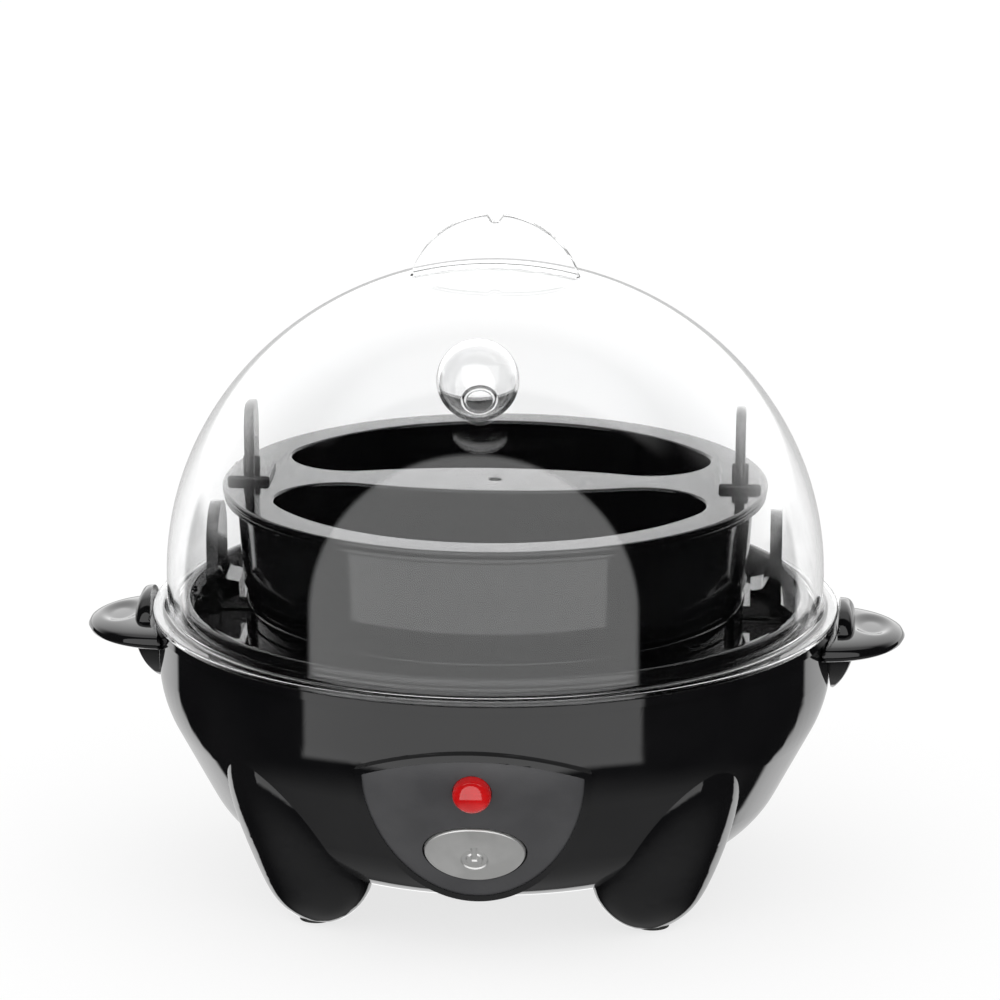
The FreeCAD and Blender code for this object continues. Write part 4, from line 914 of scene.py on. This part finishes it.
def panelTube(y, low, high, halfX, halfY, count):
    def row(share, z):
        return lambda c, d: (halfX * share * c, y + halfY * share * d, z)
    return ovalStack([row(0.93, high), row(1, high - 0.3), row(1, low + 0.3), row(0.93, low)], count, True)


newPiece("buttonCap",
         joinShapes("buttonCap", buttonShape(push),
                    panelTube(-push["down"], -5.8, -4.8, 13.2, 9.8, 64),  # flange behind the panel
                    panelTube(-push["down"], -16.8, -5.5, 3.0, 3.0, 32)),  # stem
         "button", "silver_button", "power_button")
print("button ready")

# Screws: Geometry Nodes set one cross-head screw on each point, its head facing along "aim".
screw = {"Head Radius": 2.8, "Head Height": 1.6, "Shank Radius": 1.4, "Slot Long": 3.2, "Slot Wide": 0.55,
         "Slot Deep": 0.9}


def makeScrewTree():
    tree, given = startTree("setScrews", **{label: "Float" for label in (*screw, "Shank Length")})

    def joinXYZ(x, y, z):
        return addNode(tree, "ShaderNodeCombineXYZ", {"X": x, "Y": y, "Z": z}).outputs[0]

    def moved(geometry, offset, scale=None):
        inputs = {"Geometry": geometry, "Translation": offset}
        if scale is not None:
            inputs["Scale"] = scale
        return addNode(tree, "GeometryNodeTransform", inputs).outputs[0]

    globe = addNode(tree, "GeometryNodeMeshUVSphere", {"Segments": 32, "Rings": 16, "Radius": 1.0}).outputs[0]
    domed = moved(globe, (0, 0, 0), joinXYZ(given["Head Radius"], given["Head Radius"], given["Head Height"]))
    belowHead = addNode(tree, "GeometryNodeMeshCube", {"Size": (0.02, 0.02, 0.02)}).outputs[0]
    slots = []
    for long, wide in (("Slot Long", "Slot Wide"), ("Slot Wide", "Slot Long")):
        size = joinXYZ(given[long], given[wide], given["Slot Deep"])
        bar = addNode(tree, "GeometryNodeMeshCube", {"Size": size}).outputs[0]
        slots.append(moved(bar, joinXYZ(0.0, 0.0, given["Head Height"])))
    cut = tree.nodes.new("GeometryNodeMeshBoolean")
    cut.operation = "DIFFERENCE"
    tree.links.new(domed, cut.inputs["Mesh 1"])
    for tool in (moved(belowHead, (0, 0, -0.01)), *slots):
        tree.links.new(tool, cut.inputs["Mesh 2"])
    halfLength = calc(tree, "MULTIPLY", given["Shank Length"], -0.5)
    shank = addNode(tree, "GeometryNodeMeshCylinder", {"Vertices": 20, "Radius": given["Shank Radius"],
                                                       "Depth": given["Shank Length"]})
    shankPlaced = moved(shank.outputs[0], joinXYZ(0.0, 0.0, halfLength))
    whole = tree.nodes.new("GeometryNodeJoinGeometry")
    for part in (cut.outputs[0], shankPlaced):
        tree.links.new(part, whole.inputs[0])
    aim = addNode(tree, "GeometryNodeInputNamedAttribute", {"Name": "aim"}, data_type="FLOAT_VECTOR")
    facing = addNode(tree, "FunctionNodeAlignRotationToVector", {"Vector": aim.outputs[0]}, axis="Z")
    points = addNode(tree, "GeometryNodeMeshToPoints", {"Mesh": given["Geometry"]})
    placed = addNode(tree, "GeometryNodeInstanceOnPoints", {
        "Points": points.outputs[0], "Instance": whole.outputs[0], "Rotation": facing.outputs[0]})
    return endTree(tree, given, placed.outputs[0])


setScrews = makeScrewTree()


def screwSet(name, node, length, spots):
    mesh = bpy.data.meshes.new(name)
    mesh.from_pydata([Vector(at) * mm for at, aim in spots], [], [])
    facing = mesh.attributes.new("aim", "FLOAT_VECTOR", "POINT")
    for i, (at, aim) in enumerate(spots):
        facing.data[i].vector = aim
    mesh = runTree(name, mesh, setScrews, **{label: size * mm for label, size in screw.items()},
                   **{"Shank Length": length * mm, "Material": materials["bright_steel"]})
    newPiece(name, mesh, "base", "bright_steel", node)


def ringSpots(count, radius, height, aim, start=0.0):
    turns = [math.radians(start + 360 * k / count) for k in range(count)]
    return [((radius * math.cos(a), radius * math.sin(a), height), aim) for a in turns]


down, upright = (0, 0, -1), (0, 0, 1)
panelBack = Vector(onPanel(push, 0, 0, -1)) - Vector(onPanel(push, 0, 0, 0))
screwSet("coverScrews", "cover_screws", 9.0, ringSpots(4, 39.6, 8.2, down))
screwSet("clampScrews", "clamp_screws", 4.8, ringSpots(3, 62.5, 60.2, down, 90))
screwSet("strapScrews", "strap_screws", 5.0, ringSpots(2, 25.0, 45.8, down))
screwSet("terminalScrews", "terminal_screws", 4.0, [((side * 6, 26, 20), upright) for side in (-1, 1)])
screwSet("handleScrews", "handle_screws", 6.1,
         [((side * 77.86, spread * 5.5, 57.0), (-side, 0, 0)) for side in (-1, 1) for spread in (-1, 1)])
screwSet("bracketScrews", "bracket_screws", 6.0,
         [(onPanel(push, side * 16, 0, -14.5), panelBack) for side in (-1, 1)])
print("screws ready")

# Button spring: a helix behind the button.
spring = {"radius": 4.4, "wire": 0.4, "turns": 4.0, "low": -12.6, "length": 6.4, "foot": -13.0,
          "keep": 0.77}  # keep is its pressed share of length


def makeSpringTree():
    tree, given = startTree("windSpring", Radius="Float", Wire="Float", Turns="Float", Length="Float")
    helix = addNode(tree, "GeometryNodeCurveSpiral", {
        "Resolution": 48, "Rotations": given["Turns"], "Start Radius": given["Radius"],
        "End Radius": given["Radius"], "Height": given["Length"]})
    wire = addNode(tree, "GeometryNodeCurvePrimitiveCircle", {"Resolution": 14, "Radius": given["Wire"]})
    swept = addNode(tree, "GeometryNodeCurveToMesh", {
        "Curve": helix.outputs[0], "Profile Curve": wire.outputs[0], "Fill Caps": True})
    return endTree(tree, given, swept.outputs[0])


def makeSpring(s):
    mesh = runTree("spring", bpy.data.meshes.new("spring"), makeSpringTree(), Radius=s["radius"] * mm,
                   Wire=s["wire"] * mm, Turns=s["turns"], Length=s["length"] * mm,
                   Material=materials["spring_steel"])
    for vertex in mesh.vertices:
        x, y, z = (c / mm for c in vertex.co)
        vertex.co = Vector(onPanel(push, x, y - push["down"], z + s["low"])) * mm
    finishShape(mesh)
    coil = newPiece("springCoil", mesh, "base", "spring_steel", "button_spring")
    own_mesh(coil)


makeSpring(spring)
print("spring ready")

# Pieces whose shape is right already get softened edges.
for node, body, width in (("panel_surround", "base", 0.5), ("control_panel", "base", 0.25),
                          ("egg_rack", "rack", 0.4), ("deck_ring", "base", 0.3)):
    soften(softSet, node, body, width)
print("softened pieces ready")
